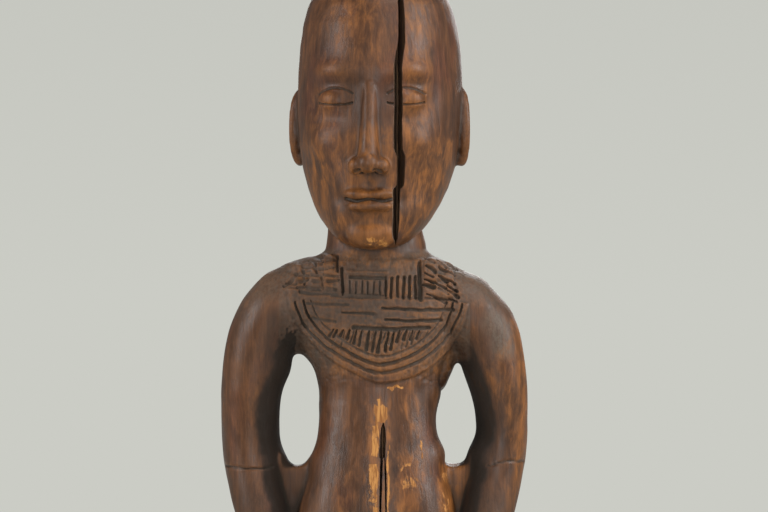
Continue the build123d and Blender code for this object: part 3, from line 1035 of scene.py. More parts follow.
@dataclass
class PatinaAndPaintedLight:
    """What age, hands and dirt have done to each place on the skin, with painted shade and painted light laid
    in among it.
    """

    points: np.ndarray
    out: np.ndarray
    edges: np.ndarray
    lines: np.ndarray
    depth: Depth
    noise: Noise
    near_reach: float = 3.5
    far_reach: float = 10.0
    crevice_depth: float = 0.20
    ridge_height: float = 0.14
    evening_rounds: int = 14
    # lit_side and lit_sill mark where light falls, and take painted shade away there.
    lit_side: Patch = Patch((24.0, 258.0), (40.0, 281.0), 0.60, 4.0)
    lit_sill: Patch = Patch((24.0, 198.0), (42.0, 222.0), 0.60, 4.0)
    grimy_collar: Patch = Patch((-36.0, 271.0), (22.0, 293.0), 0.32, 6.0)
    # sheen_patch, sheen_lean and sheen_z place a painted grey highlight on the left shoulder.
    sheen_patch: Patch = Patch((42.0, 258.0), (58.0, 284.0), 1.10, 7.0)
    sheen_lean: float = 0.2
    sheen_z: float = 271.0

    def __post_init__(self) -> None:
        """Works out what several layers share."""
        self.x, self.y, self.z = self.points.T
        self.wide = np.abs(self.x)
        evened = spread(self.points, self.edges, self.evening_rounds)
        self.inward = np.sum((evened - self.points) * self.out, axis=1)
        self.crevice = np.clip(self.inward / self.crevice_depth, 0.0, 1.0)
        self.near = self.depth.at(self.points, self.near_reach)
        self.drift = self.noise.rich(self.points, 7.0)
        self.front = ease(-self.out[:, 1], -0.1, 0.2)

    def flakes(self) -> list[Patch]:
        """Where the dark skin has flaked away and pale wood shows, with sharp torn edges."""
        return [
            Patch((-1.4, 221.6), (2.2, 235.6), 0.92),
            Patch((-3.0, 203.0), (1.6, 219.8), 0.70),
            Patch((-1.4, 190.0), (1.8, 204.0), 0.66),
            Patch((4.8, 198.0), (6.6, 227.0), 0.74),
            Patch((-0.2, 235.2), (5.8, 242.4), 0.86),
            Patch((1.0, 240.4), (3.0, 245.6), 0.80),
            Patch((8.0, 216.4), (15.6, 220.6), 0.64, 1.6),
            Patch((8.6, 207.6), (18.6, 215.4), 0.66, 2.6),
            Patch((17.4, 219.8), (19.6, 229.0), 0.62),
            Patch((4.8, 248.4), (12.0, 250.6), 0.95),
            Patch((-5.5, 304.0), (6.5, 310.6), 0.66, 2.5),
            Patch((26.5, 200.0), (29.8, 217.0), 0.50),
            Patch((13.4, 285.0), (15.8, 293.0), 0.56),
        ]

    def rubbed_and_lit_patches(self) -> list[Patch]:
        """Where handling has thinned the dark skin and an orange tone glows through, and where the same
        orange is painted light on the neck and on the outer side of the figure's left arm.
        """
        return [
            Patch((-6.0, 188.0), (9.5, 247.0), 0.50, 5.0),
            Patch((5.0, 196.0), (23.0, 229.0), 0.62, 7.0),
            # Painted light: brightens the neck under the chin.
            Patch((-21.0, 295.0), (21.0, 305.5), 0.60, 3.0),
            Patch((-20.0, 186.0), (-3.0, 222.0), 0.30, 8.0),
            Patch((-20.0, 250.5), (37.0, 268.0), 0.62, 6.0),
            Patch((12.0, 276.8), (20.0, 279.2), 0.85, 0.9),
            Patch((-1.8, 274.0), (3.6, 278.0), 0.75, 1.2),
            Patch((-36.5, 287.0), (-27.0, 294.5), 0.75, 3.5),
            Patch((19.0, 283.5), (33.0, 288.5), 0.60, 3.0),
            Patch((-22.0, 287.6), (-14.0, 303.0), 0.40, 2.5),
            Patch((3.5, 284.0), (16.5, 293.0), 0.90, 3.0),
            Patch((-11.0, 303.5), (11.0, 319.0), 1.00, 6.0),
            Patch((-25.0, 372.0), (5.0, 418.0), 0.40, 12.0),
            Patch((6.0, 330.0), (26.0, 410.0), 0.55, 9.0),
            Patch((-29.0, 345.0), (-12.0, 372.0), 0.50, 8.0),
            Patch((-33.0, 304.0), (36.0, 356.0), 0.50, 10.0),
            Patch((24.0, 194.0), (40.0, 222.0), 0.80, 4.0),
            # Painted light: brightens the outer side of the figure's left arm.
            Patch((44.0, 248.0), (62.0, 268.0), 0.45, 8.0),
            Patch((49.0, 176.0), (70.0, 282.0), 0.62, 10.0),
            Patch((6.0, 224.0), (22.0, 250.0), 0.50, 7.0),
        ]

    def hollow_shade_and_grime(self) -> np.ndarray:
        """Painted shade deep in among the wood, where little light reaches, with dirt in the creases and
        grime on the collar.
        """
        far = self.depth.at(self.points, self.far_reach)
        hollow_shade_and_grime = 0.60 * ease(self.near, 0.55, 0.80) + 0.45 * ease(far, 0.52, 0.78)
        # Less painted shade on the neck under the chin and on the lit side and sill.
        hollow_shade_and_grime *= 1 - 0.95 * band(self.z, 294.0, 298.0, 310.0, 314.0) * (self.wide < 21) * (self.y < 10)
        lit = np.maximum(self.lit_side.cover(self.x, self.z), self.lit_sill.cover(self.x, self.z))
        hollow_shade_and_grime *= 1 - lit * (self.y < 4)
        grime = self.grimy_collar.cover(self.x, self.z) * (self.y < 0)
        return np.clip(hollow_shade_and_grime + 0.45 * self.crevice + grime, 0.0, 1.0)

    def worn(self) -> np.ndarray:
        """Ridges that stand proud and are rubbed bright."""
        return np.clip(-self.inward / self.ridge_height, 0.0, 1.0) * ease(0.5 - self.near, -0.04, 0.12)

    def line(self) -> np.ndarray:
        """Dirt lying in the cut lines, more in some than in others."""
        uneven = 0.78 + 0.34 * self.noise.at(self.points + 70.0, (2.6, 2.6, 1.8))
        line = 0.8 * self.lines * uneven + 0.35 * self.crevice * (self.wide > 1.5)
        return np.clip(line, 0.0, 1.0)

    def dark_shade_and_grime(self) -> np.ndarray:
        """Near-black painted shade, with some grime, inside the arms, in the armpits and round the feet of
        the gaps.
        """
        wide, z, right = self.wide, self.z, self.x < 0
        beside = np.sign(self.x) * -self.out[:, 0] + 0.16 * self.drift
        gap = ease(wide, 19.0, 27.0) * band(z, 176.0, 200.0, 286.0, 299.0)
        inner_arm = ease(beside, 0.12, 0.52) * gap * (1 - 1.4 * self.lit_side.cover(self.x, z))
        flank = 0.5 * ease(-beside, 0.80, 1.0) * ease(30.0 - wide, 0.0, 4.0) * gap
        armpit = band(wide, 31.0, 37.0, 41.0, 48.0) * band(z, 240.0, 262.0, 276.0, 288.0)
        armpit *= np.where(right, 0.55, 0.12)
        sill = band(wide, 20.0, 25.0, 38.0, 44.0) * band(z, 196.0, 208.0, 219.0, 226.0)
        sill *= np.where(right, 0.32, 0.20) * (1 - 0.8 * inside(self.x, 25, 32))
        forearm = 0.38 * ease(wide, 32.0, 38.0) * band(z, 178.0, 190.0, 203.0, 219.0)
        forearm *= 1 - 1.4 * self.lit_sill.cover(self.x, z)
        return np.clip(np.maximum.reduce([inner_arm, flank, armpit, sill, forearm]), 0.0, 1.0)

    def flake(self) -> np.ndarray:
        """The torn patches where the dark skin is gone."""
        x = self.x + 0.8 * self.noise.at(self.points, (1.4, 1.4, 6.0))
        z = self.z + 1.6 * self.noise.at(self.points + 20.0, (1.8, 1.8, 4.0))
        return np.maximum.reduce([patch.cover(x, z) for patch in self.flakes()]) * self.front

    def rubbed_and_lit(self) -> np.ndarray:
        """The thinned places and the painted light, and a few more thinned places by chance on the sides and
        the back.
        """
        x, z = self.x + 2.0 * self.drift, self.z + 3.0 * self.drift
        rubbed_and_lit = np.maximum.reduce([patch.cover(x, z) for patch in self.rubbed_and_lit_patches()]) * self.front
        return np.maximum(rubbed_and_lit, 0.5 * ease(self.noise.rich(self.points + 90.0, 26.0), 0.25, 0.7))

    def dust_and_sheen(self) -> np.ndarray:
        """Grey dust on the shoulders and over the engraving, with a painted grey highlight on the left
        shoulder.
        """
        shelf = 0.6 * band(self.z, 250.0, 262.0, 300.0, 305.0) * self.front * (self.wide < 38)
        top = 0.8 * band(self.z, 258.0, 294.0, 302.0, 308.0) * ease(self.out[:, 2], 0.05, 0.6)
        leaning = self.x + 2.0 * self.drift - self.sheen_lean * (self.sheen_z - self.z)
        return np.maximum.reduce([shelf, top, self.sheen_patch.cover(leaning, self.z) * self.front])

    def layers(self) -> dict[str, np.ndarray]:
        """Every layer, by the name that the finishes read it by."""
        return {
            "hollow_shade_and_grime": self.hollow_shade_and_grime(), "worn": self.worn(), "line": self.line(), "dark_shade_and_grime": self.dark_shade_and_grime(),
            "flake": self.flake(), "rubbed_and_lit": self.rubbed_and_lit(), "dust_and_sheen": self.dust_and_sheen(),
        }


@dataclass
class Block:
    """The one block of wood: fused, worn round, cut, and coloured by place."""

    head: HeadForm
    body: BodyForm
    voxel: float = FINE_VOXEL
    first_smoothing: int = 9
    smoothing_rounds: int = 3
    broad_heave: float = 0.30
    small_heave: float = 0.11
    line_waver: float = 0.28
    coarse_grit: float = 0.26
    fine_grit: float = 0.15
    chip_relief: float = 0.80
    full_stain_depth: float = 0.9
    chipped_shoulders: tuple[Patch, Patch] = (
        Patch((-36.0, 286.5), (-14.0, 306.0), 1.0, 3.0),
        Patch((18.0, 284.0), (36.0, 306.0), 1.0, 3.0),
    )
    noise: Noise = field(default_factory=lambda: Noise(SEED))
    obj: bpy.types.Object = None
    edges: np.ndarray = None
    lines: np.ndarray = None
    depth: Depth = None

    def rough_out(self) -> None:
        """Fuses every rough form into one skin and rounds its inner corners."""
        self.obj = fuse([self.body.build(), self.head.build()], "block")
        finish_with(self.obj, "REMESH", mode="VOXEL", voxel_size=self.voxel * MM, adaptivity=0.0)
        rounds = round(self.first_smoothing * (FINE_VOXEL / self.voxel) ** 2)
        finish_with(self.obj, "SMOOTH", factor=0.5, iterations=max(3, rounds))
        joins, gaps = self.joins(), self.gap_ends()
        self.soothe(joins, 10.0)
        self.soothe(gaps, 4.0)
        log.info("block fused: %d faces", len(self.obj.data.polygons))

    def joins(self) -> np.ndarray:
        """How much each point belongs to a join: shoulders, seat, groin, ankles or wrists."""
        x, y, z = points_of(self.obj).T
        wide = np.abs(x)
        under_chin = ease(z, self.head.chin_z - 4, self.head.chin_z - 1)
        shoulders = ease(wide, 21.0, 27.0) * ease(z, 270.0, 278.0) * (1 - under_chin)
        seat = band(z, 134.0, 142.0, 164.0, 171.0) * np.maximum(ease(y, -9.0, -2.0), ease(wide, 39.0, 42.0))
        groin = band(z, 134.0, 142.0, 150.0, 155.0) * ease(wide, 12.0, 16.0)
        ankles = band(z, 29.0, 33.0, 44.0, 50.0)
        wrists = ease(wide, 29.0, 33.0) * band(z, 170.0, 177.0, 192.0, 198.0) * ease(-y, -4.0, 4.0)
        return np.maximum.reduce([shoulders, seat, groin, ankles, wrists])

    def gap_ends(self) -> np.ndarray:
        """How much each point belongs to the foot or the head of a gap beside the waist."""
        x, y, z = points_of(self.obj).T
        foot = band(z, 206.0, 211.0, 223.0, 228.0)
        top = band(z, 255.0, 259.0, 274.0, 280.0) * ease(y, -6.0, 2.0)
        return np.maximum(foot, top) * band(np.abs(x), 19.0, 23.0, 42.0, 46.0)

    def soothe(self, share: np.ndarray, reach: float) -> None:
        """Smooths the skin where it is asked for and leaves the rest alone.

        Args:
            share: How much of the smoothing each point takes, from 0 to 1.
            reach: How far the smoothing spreads, alike for any voxel size. It grows as a distance squared.
        """
        chosen = np.nonzero(share > 0.001)[0]
        number = np.full(len(share), -1)
        number[chosen] = np.arange(len(chosen))
        edges = number[edges_of(self.obj)]
        edges = edges[(edges >= 0).all(axis=1)]
        points = points_of(self.obj)
        rounds = round(reach * (1.0 / self.voxel) ** 2 * self.smoothing_rounds)
        even = spread(points[chosen], edges, rounds)
        points[chosen] += (even - points[chosen]) * share[chosen, None]
        move_points(self.obj, points)

    def measure(self) -> None:
        """Plans how deep each place lies."""
        self.depth = Depth(self.obj)

    def refine(self) -> None:
        """Divides the skin more finely where the carving is fine."""
        mesh = self.obj.data
        centres = np.empty(len(mesh.polygons) * 3, np.float32)
        mesh.polygons.foreach_get("center", centres)
        x, y, z = (centres.reshape(-1, 3) / MM).T
        head, base_top = self.head, self.body.base_top_z
        chest = (np.abs(x - 1.5) < 40) & inside(z, 249.5, 303.6) & (y < 6)
        face = (np.abs(x - head.shift) < 23) & inside(z, head.chin_z + 11, head.eye_z + 9) & (y < -18)
        belly = (np.abs(x - 3) < 9) & inside(z, 186, 248) & (y < -8)
        hands = inside(np.abs(x), 10, 40) & inside(z, 148, 181) & (y < -13)
        toes = inside(z, base_top - 1, base_top + 10) & (y < -12) & (np.hypot(x, y) < 51)
        mesh.polygons.foreach_set("select", chest | face | belly | hands | toes)
        take(self.obj)
        bpy.ops.object.mode_set(mode="EDIT")
        bpy.ops.mesh.select_mode(type="FACE")
        bpy.ops.mesh.subdivide(number_cuts=1)
        leave_edit()
        self.edges = edges_of(self.obj)
        points = points_of(self.obj)
        move_points(self.obj, spread(points, self.edges, 2))
        log.info("block refined: %d faces", len(self.obj.data.polygons))

    def wobble(self) -> None:
        """Gives the skin the slight unevenness of a surface cut by hand."""
        points, out = points_of(self.obj), normals_of(self.obj)
        y, z = points[:, 1], points[:, 2]
        heave = self.broad_heave * self.noise.at(points, (13.0, 13.0, 19.0))
        heave += self.small_heave * self.noise.at(points, 5.5)
        on_face = ease(-y, 14.0, 26.0) * ease(z, self.head.chin_z, self.head.chin_z + 8)
        above_table = ease(z, 0.4, 2.5)
        heave *= (1.0 - 0.6 * on_face) * above_table
        move_points(self.obj, points + heave[:, None] * out)

    def carve(self) -> None:
        """Cuts every line and raises every panel, and notes how deep each cut went."""
        points, out = points_of(self.obj), normals_of(self.obj)
        out = spread(out, self.edges, 6)
        out /= np.linalg.norm(out, axis=1, keepdims=True) + 1e-9
        lift = np.zeros(len(points))
        self.lines = np.zeros(len(points))
        x = points[:, 0] + self.line_waver * self.noise.at(points, 3.1)
        z = points[:, 2] + self.line_waver * self.noise.at(points + 50.0, 3.1)
        front = ease(-out[:, 1], 0.02, 0.3)
        chest, limbs, face = ChestCarving(), LimbCarving(), FaceCarving(self.head)
        upper = (points[:, 2] > 249) & (points[:, 2] < 304.5)
        lift[upper] += chest.raised(x[upper], z[upper]) * front[upper]
        self.cut_all([*chest.cuts(), *limbs.cuts()], x, z, out, lift)
        straight = self.head.straightened(points)
        on_head = points[:, 2] > self.head.chin_z - 2
        self.cut_all(face.cuts(), straight[:, 0], straight[:, 2], out, lift, on_head)
        for press in face.presses():
            lift += press.lift(straight) * on_head
        for press in limbs.presses():
            lift += press.lift(points)
        lift += self.grit(points, x, z) * front
        move_points(self.obj, points + lift[:, None] * out)

    def grit(self, points: np.ndarray, x: np.ndarray, z: np.ndarray) -> np.ndarray:
        """The roughness left by the tool between the lines of the chest, coarser on the chipped shoulders."""
        rough = self.coarse_grit * self.noise.at(points, (2.9, 2.9, 1.9))
        rough += self.fine_grit * self.noise.at(points + 9.0, 1.1)
        chipped = np.maximum(*(patch.cover(x, z) for patch in self.chipped_shoulders))
        rough += chipped * self.chip_relief * self.noise.at(points + 31.0, (4.4, 4.4, 2.0))
        engraved = band(points[:, 2], 248.0, 253.0, 300.0, 304.0)
        return engraved * (1 - ease(np.abs(points[:, 0]), 34.0, 40.0)) * rough

    def cut_all(self, cuts: Sequence[Cut], x: np.ndarray, z: np.ndarray, out: np.ndarray,
                lift: np.ndarray, allowed: np.ndarray | None = None) -> None:
        """Adds every groove's depth to the lift of the points near it.

        Args:
            cuts: The grooves.
            x: Places across, on which the lines are drawn.
            z: Heights, on which the lines are drawn.
            out: Each point's outward direction.
            lift: How far each point moves outwards, which is changed.
            allowed: The points that may be cut, or None for all.
        """
        deepest, highest, dirt = np.zeros(len(x)), np.zeros(len(x)), np.zeros(len(x))
        for cut in cuts:
            xs, zs = zip(*cut.line)
            reach = cut.width
            near = inside(x, min(xs) - reach, max(xs) + reach) & inside(z, min(zs) - reach, max(zs) + reach)
            if allowed is not None:
                near &= allowed
            if cut.facing is not Facing.AROUND:
                near &= out[:, 1] * cut.facing.value > 0.05
            where = np.nonzero(near)[0]
            if len(where) == 0:
                continue
            depth = cut.depth * cut.nearness(x[where], z[where])
            if cut.facing is not Facing.AROUND:
                depth *= ease(out[where, 1] * cut.facing.value, 0.05, 0.3)
            deepest[where] = np.maximum(deepest[where], depth)
            highest[where] = np.maximum(highest[where], -depth)
            dirt[where] = np.maximum(dirt[where], depth * cut.stain)
        lift += highest - deepest
        self.lines = np.maximum(self.lines, np.clip(dirt / self.full_stain_depth, 0.0, 1.0))

    def colour(self) -> None:
        """Writes down what the wood's finish reads, one number for each point and layer."""
        points, out = points_of(self.obj), normals_of(self.obj)
        patina_and_light = PatinaAndPaintedLight(points, out, self.edges, self.lines, self.depth, self.noise)
        for name, values in patina_and_light.layers().items():
            write_values(self.obj, name, values)

    def build(self) -> None:
        """Runs every step in order."""
        self.rough_out()
        self.measure()
        self.refine()
        self.wobble()
        self.carve()
        self.colour()


@dataclass(frozen=True)
class Side:
    """One side of a flat cut: the place and direction of the cut, keeping what lies behind it."""

    place: tuple[float, float, float]
    out: tuple[float, float, float]


@dataclass(frozen=True)
class Region:
    """One closed piece of the block: what it is called, what it stands for and where it is cut."""

    name: str
    nodes: tuple[str, ...]
    slot: str
    sides: tuple[Side, ...]


def above(z: float) -> Side:
    """Keeps what is above a height."""
    return Side((0.0, 0.0, z), (0.0, 0.0, -1.0))


def below(z: float) -> Side:
    """Keeps what is below a height."""
    return Side((0.0, 0.0, z), (0.0, 0.0, 1.0))


@dataclass
class Division:
    """Where the block is divided: levels in millimetres, and the two leaning cuts at the shoulders."""

    neck_z: float = 303.6
    panel_z: float = 249.6
    elbow_z: float = 217.2
    belt_z: float = 187.0
    crotch_z: float = 147.0
    knee_z: float = 95.0
    ankle_z: float = 38.0
    sole_z: float = 22.5
    gap_x: float = 31.0
    shoulder_x: float = 36.0

    def arm_side(self, side: int, keep_arm: bool) -> Side:
        """The leaning cut that divides one arm from the trunk."""
        rise, run = 300.0 - self.elbow_z, self.shoulder_x - self.gap_x
        length = math.hypot(rise, run)
        out = (side * rise / length, 0.0, -run / length)
        if keep_arm:
            out = tuple(-c for c in out)
        return Side((side * self.gap_x, 0.0, self.elbow_z), out)

    def middle(self, side: int) -> Side:
        """Keeps one half of what lies on both sides of the middle."""
        return Side((0.0, 0.0, 0.0), (-side, 0.0, 0.0))

    def regions(self) -> list[Region]:
        """Every piece, from the crown down."""
        trunk = (self.arm_side(-1, False), self.arm_side(1, False))
        made = [
            Region("carved_head", ("head", "neck", "left_ear", "right_ear"), "head_wood",
                   (above(self.neck_z),)),
            Region("carved_chest", ("chest", "chest_panel"), "engraved_wood",
                   (below(self.neck_z), above(self.panel_z), *trunk)),
            Region("carved_abdomen", ("abdomen", "left_web", "right_web"), "body_wood",
                   (below(self.panel_z), above(self.belt_z), *trunk)),
            Region("carved_hips", ("hips", "left_hand", "right_hand"), "body_wood",
                   (below(self.belt_z), above(self.crotch_z))),
        ]
        for side, name in ((-1, "right"), (1, "left")):
            arm, half = self.arm_side(side, True), self.middle(side)
            made += [
                Region(f"carved_{name}_upper_arm", (f"{name}_upper_arm",), "body_wood",
                       (below(self.neck_z), above(self.elbow_z), arm)),
                Region(f"carved_{name}_forearm", (f"{name}_forearm",), "body_wood",
                       (below(self.elbow_z), above(self.belt_z), arm)),
                Region(f"carved_{name}_thigh", (f"{name}_thigh",), "body_wood",
                       (below(self.crotch_z), above(self.knee_z), half)),
                Region(f"carved_{name}_calf", (f"{name}_calf",), "body_wood",
                       (below(self.knee_z), above(self.ankle_z), half)),
                Region(f"carved_{name}_foot", (f"{name}_foot",), "body_wood",
                       (below(self.ankle_z), above(self.sole_z), half)),
            ]
        made.append(Region("carved_base", ("base",), "base_wood", (below(self.sole_z),)))
        return made


def divide_block(block: bpy.types.Object, region: Region) -> bpy.types.Object:
    """Cuts one closed piece out of a copy of the block.

    Args:
        block: The whole block, which is left as it is.
        region: Where to cut.

    Returns:
        The piece.
    """
    piece = bpy.data.objects.new(region.name, block.data.copy())
    bpy.context.scene.collection.objects.link(piece)
    for side in region.sides:
        edit(piece)
        bpy.ops.mesh.bisect(
            plane_co=[c * MM for c in side.place],
            plane_no=side.out,
            use_fill=True,
            clear_outer=True,
            threshold=1e-7,
        )
        leave_edit()
    return piece


# ---------------------------------------------------------------------------------------------------
# Finishes
# ---------------------------------------------------------------------------------------------------


class Tree:
    """A material's node tree, with short calls for the nodes that the finishes use."""

    def __init__(self, name: str) -> None:
        """Starts a material with nothing but its output and its shader.

        Args:
            name: The material's name.
        """
        self.material = bpy.data.materials.new(name)
        self.material.use_nodes = True
        self.nodes = self.material.node_tree.nodes
        self.links = self.material.node_tree.links
        self.shader = self.nodes["Principled BSDF"]

    def add(self, kind: str, **inputs: object) -> bpy.types.Node:
        """Adds a node and sets or links its inputs by name, with spaces as underscores."""
        node = self.nodes.new(kind)
        for name, value in inputs.items():
            self.feed(node.inputs[name.replace("_", " ")], value)
        return node

    def feed(self, socket: bpy.types.NodeSocket, value: object) -> None:
        """Links a socket to another, or sets its value."""
        if isinstance(value, bpy.types.NodeSocket):
            self.links.new(value, socket)
        else:
            socket.default_value = value

    def attribute(self, name: str) -> bpy.types.NodeSocket:
        """One number stored on the mesh."""
        node = self.nodes.new("ShaderNodeAttribute")
        node.attribute_name = name
        return node.outputs["Fac"]

    def stretched(self, scale: Sequence[float]) -> bpy.types.NodeSocket:
        """Object coordinates, scaled differently along each axis."""
        place = self.nodes.new("ShaderNodeTexCoord").outputs["Object"]
        return self.add("ShaderNodeMapping", Vector=place, Scale=tuple(scale)).outputs["Vector"]

    def noise(self, scale: Sequence[float], detail: float = 3.0, rough: float = 0.55,
              distortion: float = 0.0) -> bpy.types.NodeSocket:
        """Noise on object coordinates, with a scale for each axis in blotches per metre."""
        node = self.add("ShaderNodeTexNoise", Vector=self.stretched(scale), Scale=1.0, Detail=detail,
                        Roughness=rough, Distortion=distortion)
        return node.outputs["Fac"]

    def ramp(self, value: bpy.types.NodeSocket, low: float, high: float,
             to: tuple[float, float] = (0.0, 1.0)) -> bpy.types.NodeSocket:
        """A smooth ramp of a value between two limits."""
        node = self.nodes.new("ShaderNodeMapRange")
        node.interpolation_type = "SMOOTHSTEP"
        for socket, number in zip(node.inputs[1:5], (low, high, *to)):
            socket.default_value = number
        self.links.new(value, node.inputs[0])
        return node.outputs[0]

    def maths(self, how: str, a: object, b: object = 0.0) -> bpy.types.NodeSocket:
        """One arithmetic step."""
        node = self.nodes.new("ShaderNodeMath")
        node.operation = how
        self.feed(node.inputs[0], a)
        self.feed(node.inputs[1], b)
        return node.outputs[0]

    def mix(self, share: object, under: object, over: object, how: str = "MIX") -> bpy.types.NodeSocket:
        """One colour laid over another."""
        node = self.nodes.new("ShaderNodeMix")
        node.data_type = "RGBA"
        node.blend_type = how
        self.feed(node.inputs["Factor"], share)
        for socket, value in ((node.inputs[6], under), (node.inputs[7], over)):
            self.feed(socket, (*value, 1.0) if isinstance(value, tuple) else value)
        return node.outputs[2]

    def bumps(self, *layers: tuple[bpy.types.NodeSocket, float, float]) -> bpy.types.NodeSocket:
        """Bumps laid over each other: (height, strength, distance in metres)."""
        normal = None
        for height, strength, distance in layers:
            node = self.add("ShaderNodeBump", Height=height, Strength=strength, Distance=distance)
            if normal is not None:
                self.links.new(normal, node.inputs["Normal"])
            normal = node.outputs["Normal"]
        return normal


class Grain(NamedTuple):
    """The patterns that a finish uses more than once."""

    streak: bpy.types.NodeSocket
    fibre: bpy.types.NodeSocket
    speck: bpy.types.NodeSocket
    mottle: bpy.types.NodeSocket


@dataclass(frozen=True)
class OldWood:
    """Hardwood darkened by age and handling, rubbed bright where hands reach it, with painted shade in the
    hollows and inside the arms and painted light on a few places.
    """

    name: str
    warm: tuple[float, float, float] = (0.087, 0.0335, 0.0112)
    deep: tuple[float, float, float] = (0.044, 0.0185, 0.0082)
    red: tuple[float, float, float] = (0.080, 0.0245, 0.0096)
    orange: tuple[float, float, float] = (0.185, 0.066, 0.0125)
    # Near-black colour of painted shade and of the grime in the hollows.
    dark_shade_and_grime: tuple[float, float, float] = (0.0110, 0.0076, 0.0050)
    groove: tuple[float, float, float] = (0.0330, 0.0255, 0.0180)
    bare: tuple[float, float, float] = (0.400, 0.180, 0.046)
    # Grey of the dust and of the painted highlight on the left shoulder.
    dust_and_sheen: tuple[float, float, float] = (0.098, 0.085, 0.067)
    gloss: float = 0.37
    specular: float = 0.31

    def figured(self, t: Tree, grain: Grain) -> bpy.types.NodeSocket:
        """The clean wood's colour: dark and warm blotches, rubbed places with some painted light, and streaks
        along the log.
        """
        blotch = t.noise((38.0, 38.0, 20.0), 3.0, 0.6, 0.4)
        colour = t.mix(t.ramp(blotch, 0.36, 0.66), self.deep, self.warm)
        colour = t.mix(t.ramp(t.noise((55.0, 55.0, 26.0), 2.0), 0.52, 0.70, (0.0, 0.6)), colour, self.red)
        rubbed_and_lit = t.maths("ADD", t.attribute("rubbed_and_lit"), t.ramp(grain.mottle, 0.25, 0.75, (-0.35, 0.30)))
        colour = t.mix(t.ramp(rubbed_and_lit, 0.05, 0.95, (0.0, 0.85)), colour, self.orange)
        tone = t.mix(t.ramp(grain.streak, 0.30, 0.72), (0.62, 0.60, 0.58), (1.28, 1.28, 1.28))
        colour = t.mix(0.8, colour, tone, "MULTIPLY")
        cloud = t.mix(t.ramp(grain.mottle, 0.30, 0.70), (0.72, 0.72, 0.74), (1.22, 1.22, 1.20))
        colour = t.mix(0.75, colour, cloud, "MULTIPLY")
        fine = t.mix(t.ramp(grain.fibre, 0.34, 0.66), (0.80, 0.79, 0.78), (1.14, 1.14, 1.14))
        return t.mix(0.8, colour, fine, "MULTIPLY")

    def dirtied_and_shaded(self, t: Tree, grain: Grain, colour: bpy.types.NodeSocket,
                dust_and_sheen_share: bpy.types.NodeSocket) -> bpy.types.NodeSocket:
        """The same colour with dust and a painted highlight, worn ridges, painted shade and dirt in the
        hollows, near-black painted shade inside the arms, and filled lines over it.
        """
        # Grey dust, and the painted grey highlight on the left shoulder.
        colour = t.mix(t.maths("MULTIPLY", dust_and_sheen_share, 0.62), colour, self.dust_and_sheen)
        worn = t.maths("MULTIPLY", t.attribute("worn"), t.ramp(grain.speck, 0.30, 0.60, (0.3, 1.0)))
        colour = t.mix(t.maths("MULTIPLY", worn, 0.45), colour, self.orange)
        # Painted shade and dirt in the hollows, then the near-black painted shade inside the arms and in the
        # armpits.
        colour = t.mix(t.maths("MULTIPLY", t.attribute("hollow_shade_and_grime"), 0.85), colour, self.dark_shade_and_grime)
        darkly_shaded = t.maths("ADD", t.attribute("dark_shade_and_grime"), t.ramp(grain.mottle, 0.3, 0.7, (-0.12, 0.06)))
        colour = t.mix(t.ramp(darkly_shaded, 0.02, 0.95, (0.0, 0.90)), colour, self.dark_shade_and_grime)
        return t.mix(t.maths("MULTIPLY", t.attribute("line"), 0.74), colour, self.groove)

    def build(self) -> bpy.types.Material:
        """Makes the material.

        Returns:
            The material, ready for a slot.
        """
        t = Tree(self.name)
        grain = Grain(
            streak=t.noise((420.0, 420.0, 17.0), 4.0, 0.6),
            fibre=t.noise((1500.0, 1500.0, 70.0), 2.0, 0.5),
            speck=t.noise((900.0, 900.0, 700.0), 2.0, 0.7),
            mottle=t.noise((260.0, 260.0, 110.0), 4.0, 0.62, 0.6),
        )
        dust_and_sheen_share = t.maths("MULTIPLY", t.attribute("dust_and_sheen"), t.ramp(grain.speck, 0.35, 0.62, (0.45, 0.95)))
        colour = self.dirtied_and_shaded(t, grain, self.figured(t, grain), dust_and_sheen_share)
        edge = t.maths("ADD", t.attribute("flake"), t.ramp(grain.mottle, 0.25, 0.75, (-0.40, 0.25)))
        edge = t.maths("ADD", edge, t.ramp(grain.speck, 0.2, 0.8, (-0.15, 0.15)))
        bared = t.ramp(edge, 0.38, 0.66)
        fresh = t.ramp(t.maths("MULTIPLY", grain.fibre, grain.streak), 0.16, 0.34)
        colour = t.mix(bared, colour, t.mix(fresh, self.orange, self.bare))
        t.feed(t.shader.inputs["Base Color"], colour)
        rough = t.ramp(grain.mottle, 0.3, 0.7, (self.gloss, self.gloss + 0.14))
        dulled = ((t.attribute("hollow_shade_and_grime"), 0.30), (t.attribute("dark_shade_and_grime"), 0.42), (bared, 0.25), (dust_and_sheen_share, 0.14))
        for value, share in dulled:
            rough = t.maths("ADD", rough, t.maths("MULTIPLY", value, share))
        t.feed(t.shader.inputs["Roughness"], t.maths("MINIMUM", rough, 0.95))
        t.shader.inputs["Specular IOR Level"].default_value = self.specular
        normal = t.bumps(
            (grain.streak, 0.5, 0.00022),
            (grain.mottle, 0.5, 0.00030),
            (grain.fibre, 0.5, 0.00010),
            (grain.speck, 0.4, 0.00014),
            (bared, -0.8, 0.00030),
        )
        t.feed(t.shader.inputs["Normal"], normal)
        return t.material


@dataclass(frozen=True)
class TornWood:
    """The raw, dark, fibrous wood inside a crack."""

    name: str
    dark: tuple[float, float, float] = (0.120, 0.066, 0.036)
    pale: tuple[float, float, float] = (0.340, 0.190, 0.090)

    def build(self) -> bpy.types.Material:
        """Makes the material.

        Returns:
            The material, ready for a slot.
        """
        t = Tree(self.name)
        fibre = t.noise((1100.0, 500.0, 60.0), 3.0)
        t.feed(t.shader.inputs["Base Color"], t.mix(t.ramp(fibre, 0.42, 0.72), self.dark, self.pale))
        t.shader.inputs["Roughness"].default_value = 0.9
        t.feed(t.shader.inputs["Normal"], t.bumps((fibre, 0.8, 0.0004)))
        return t.material


# ---------------------------------------------------------------------------------------------------
# The studio
# ---------------------------------------------------------------------------------------------------


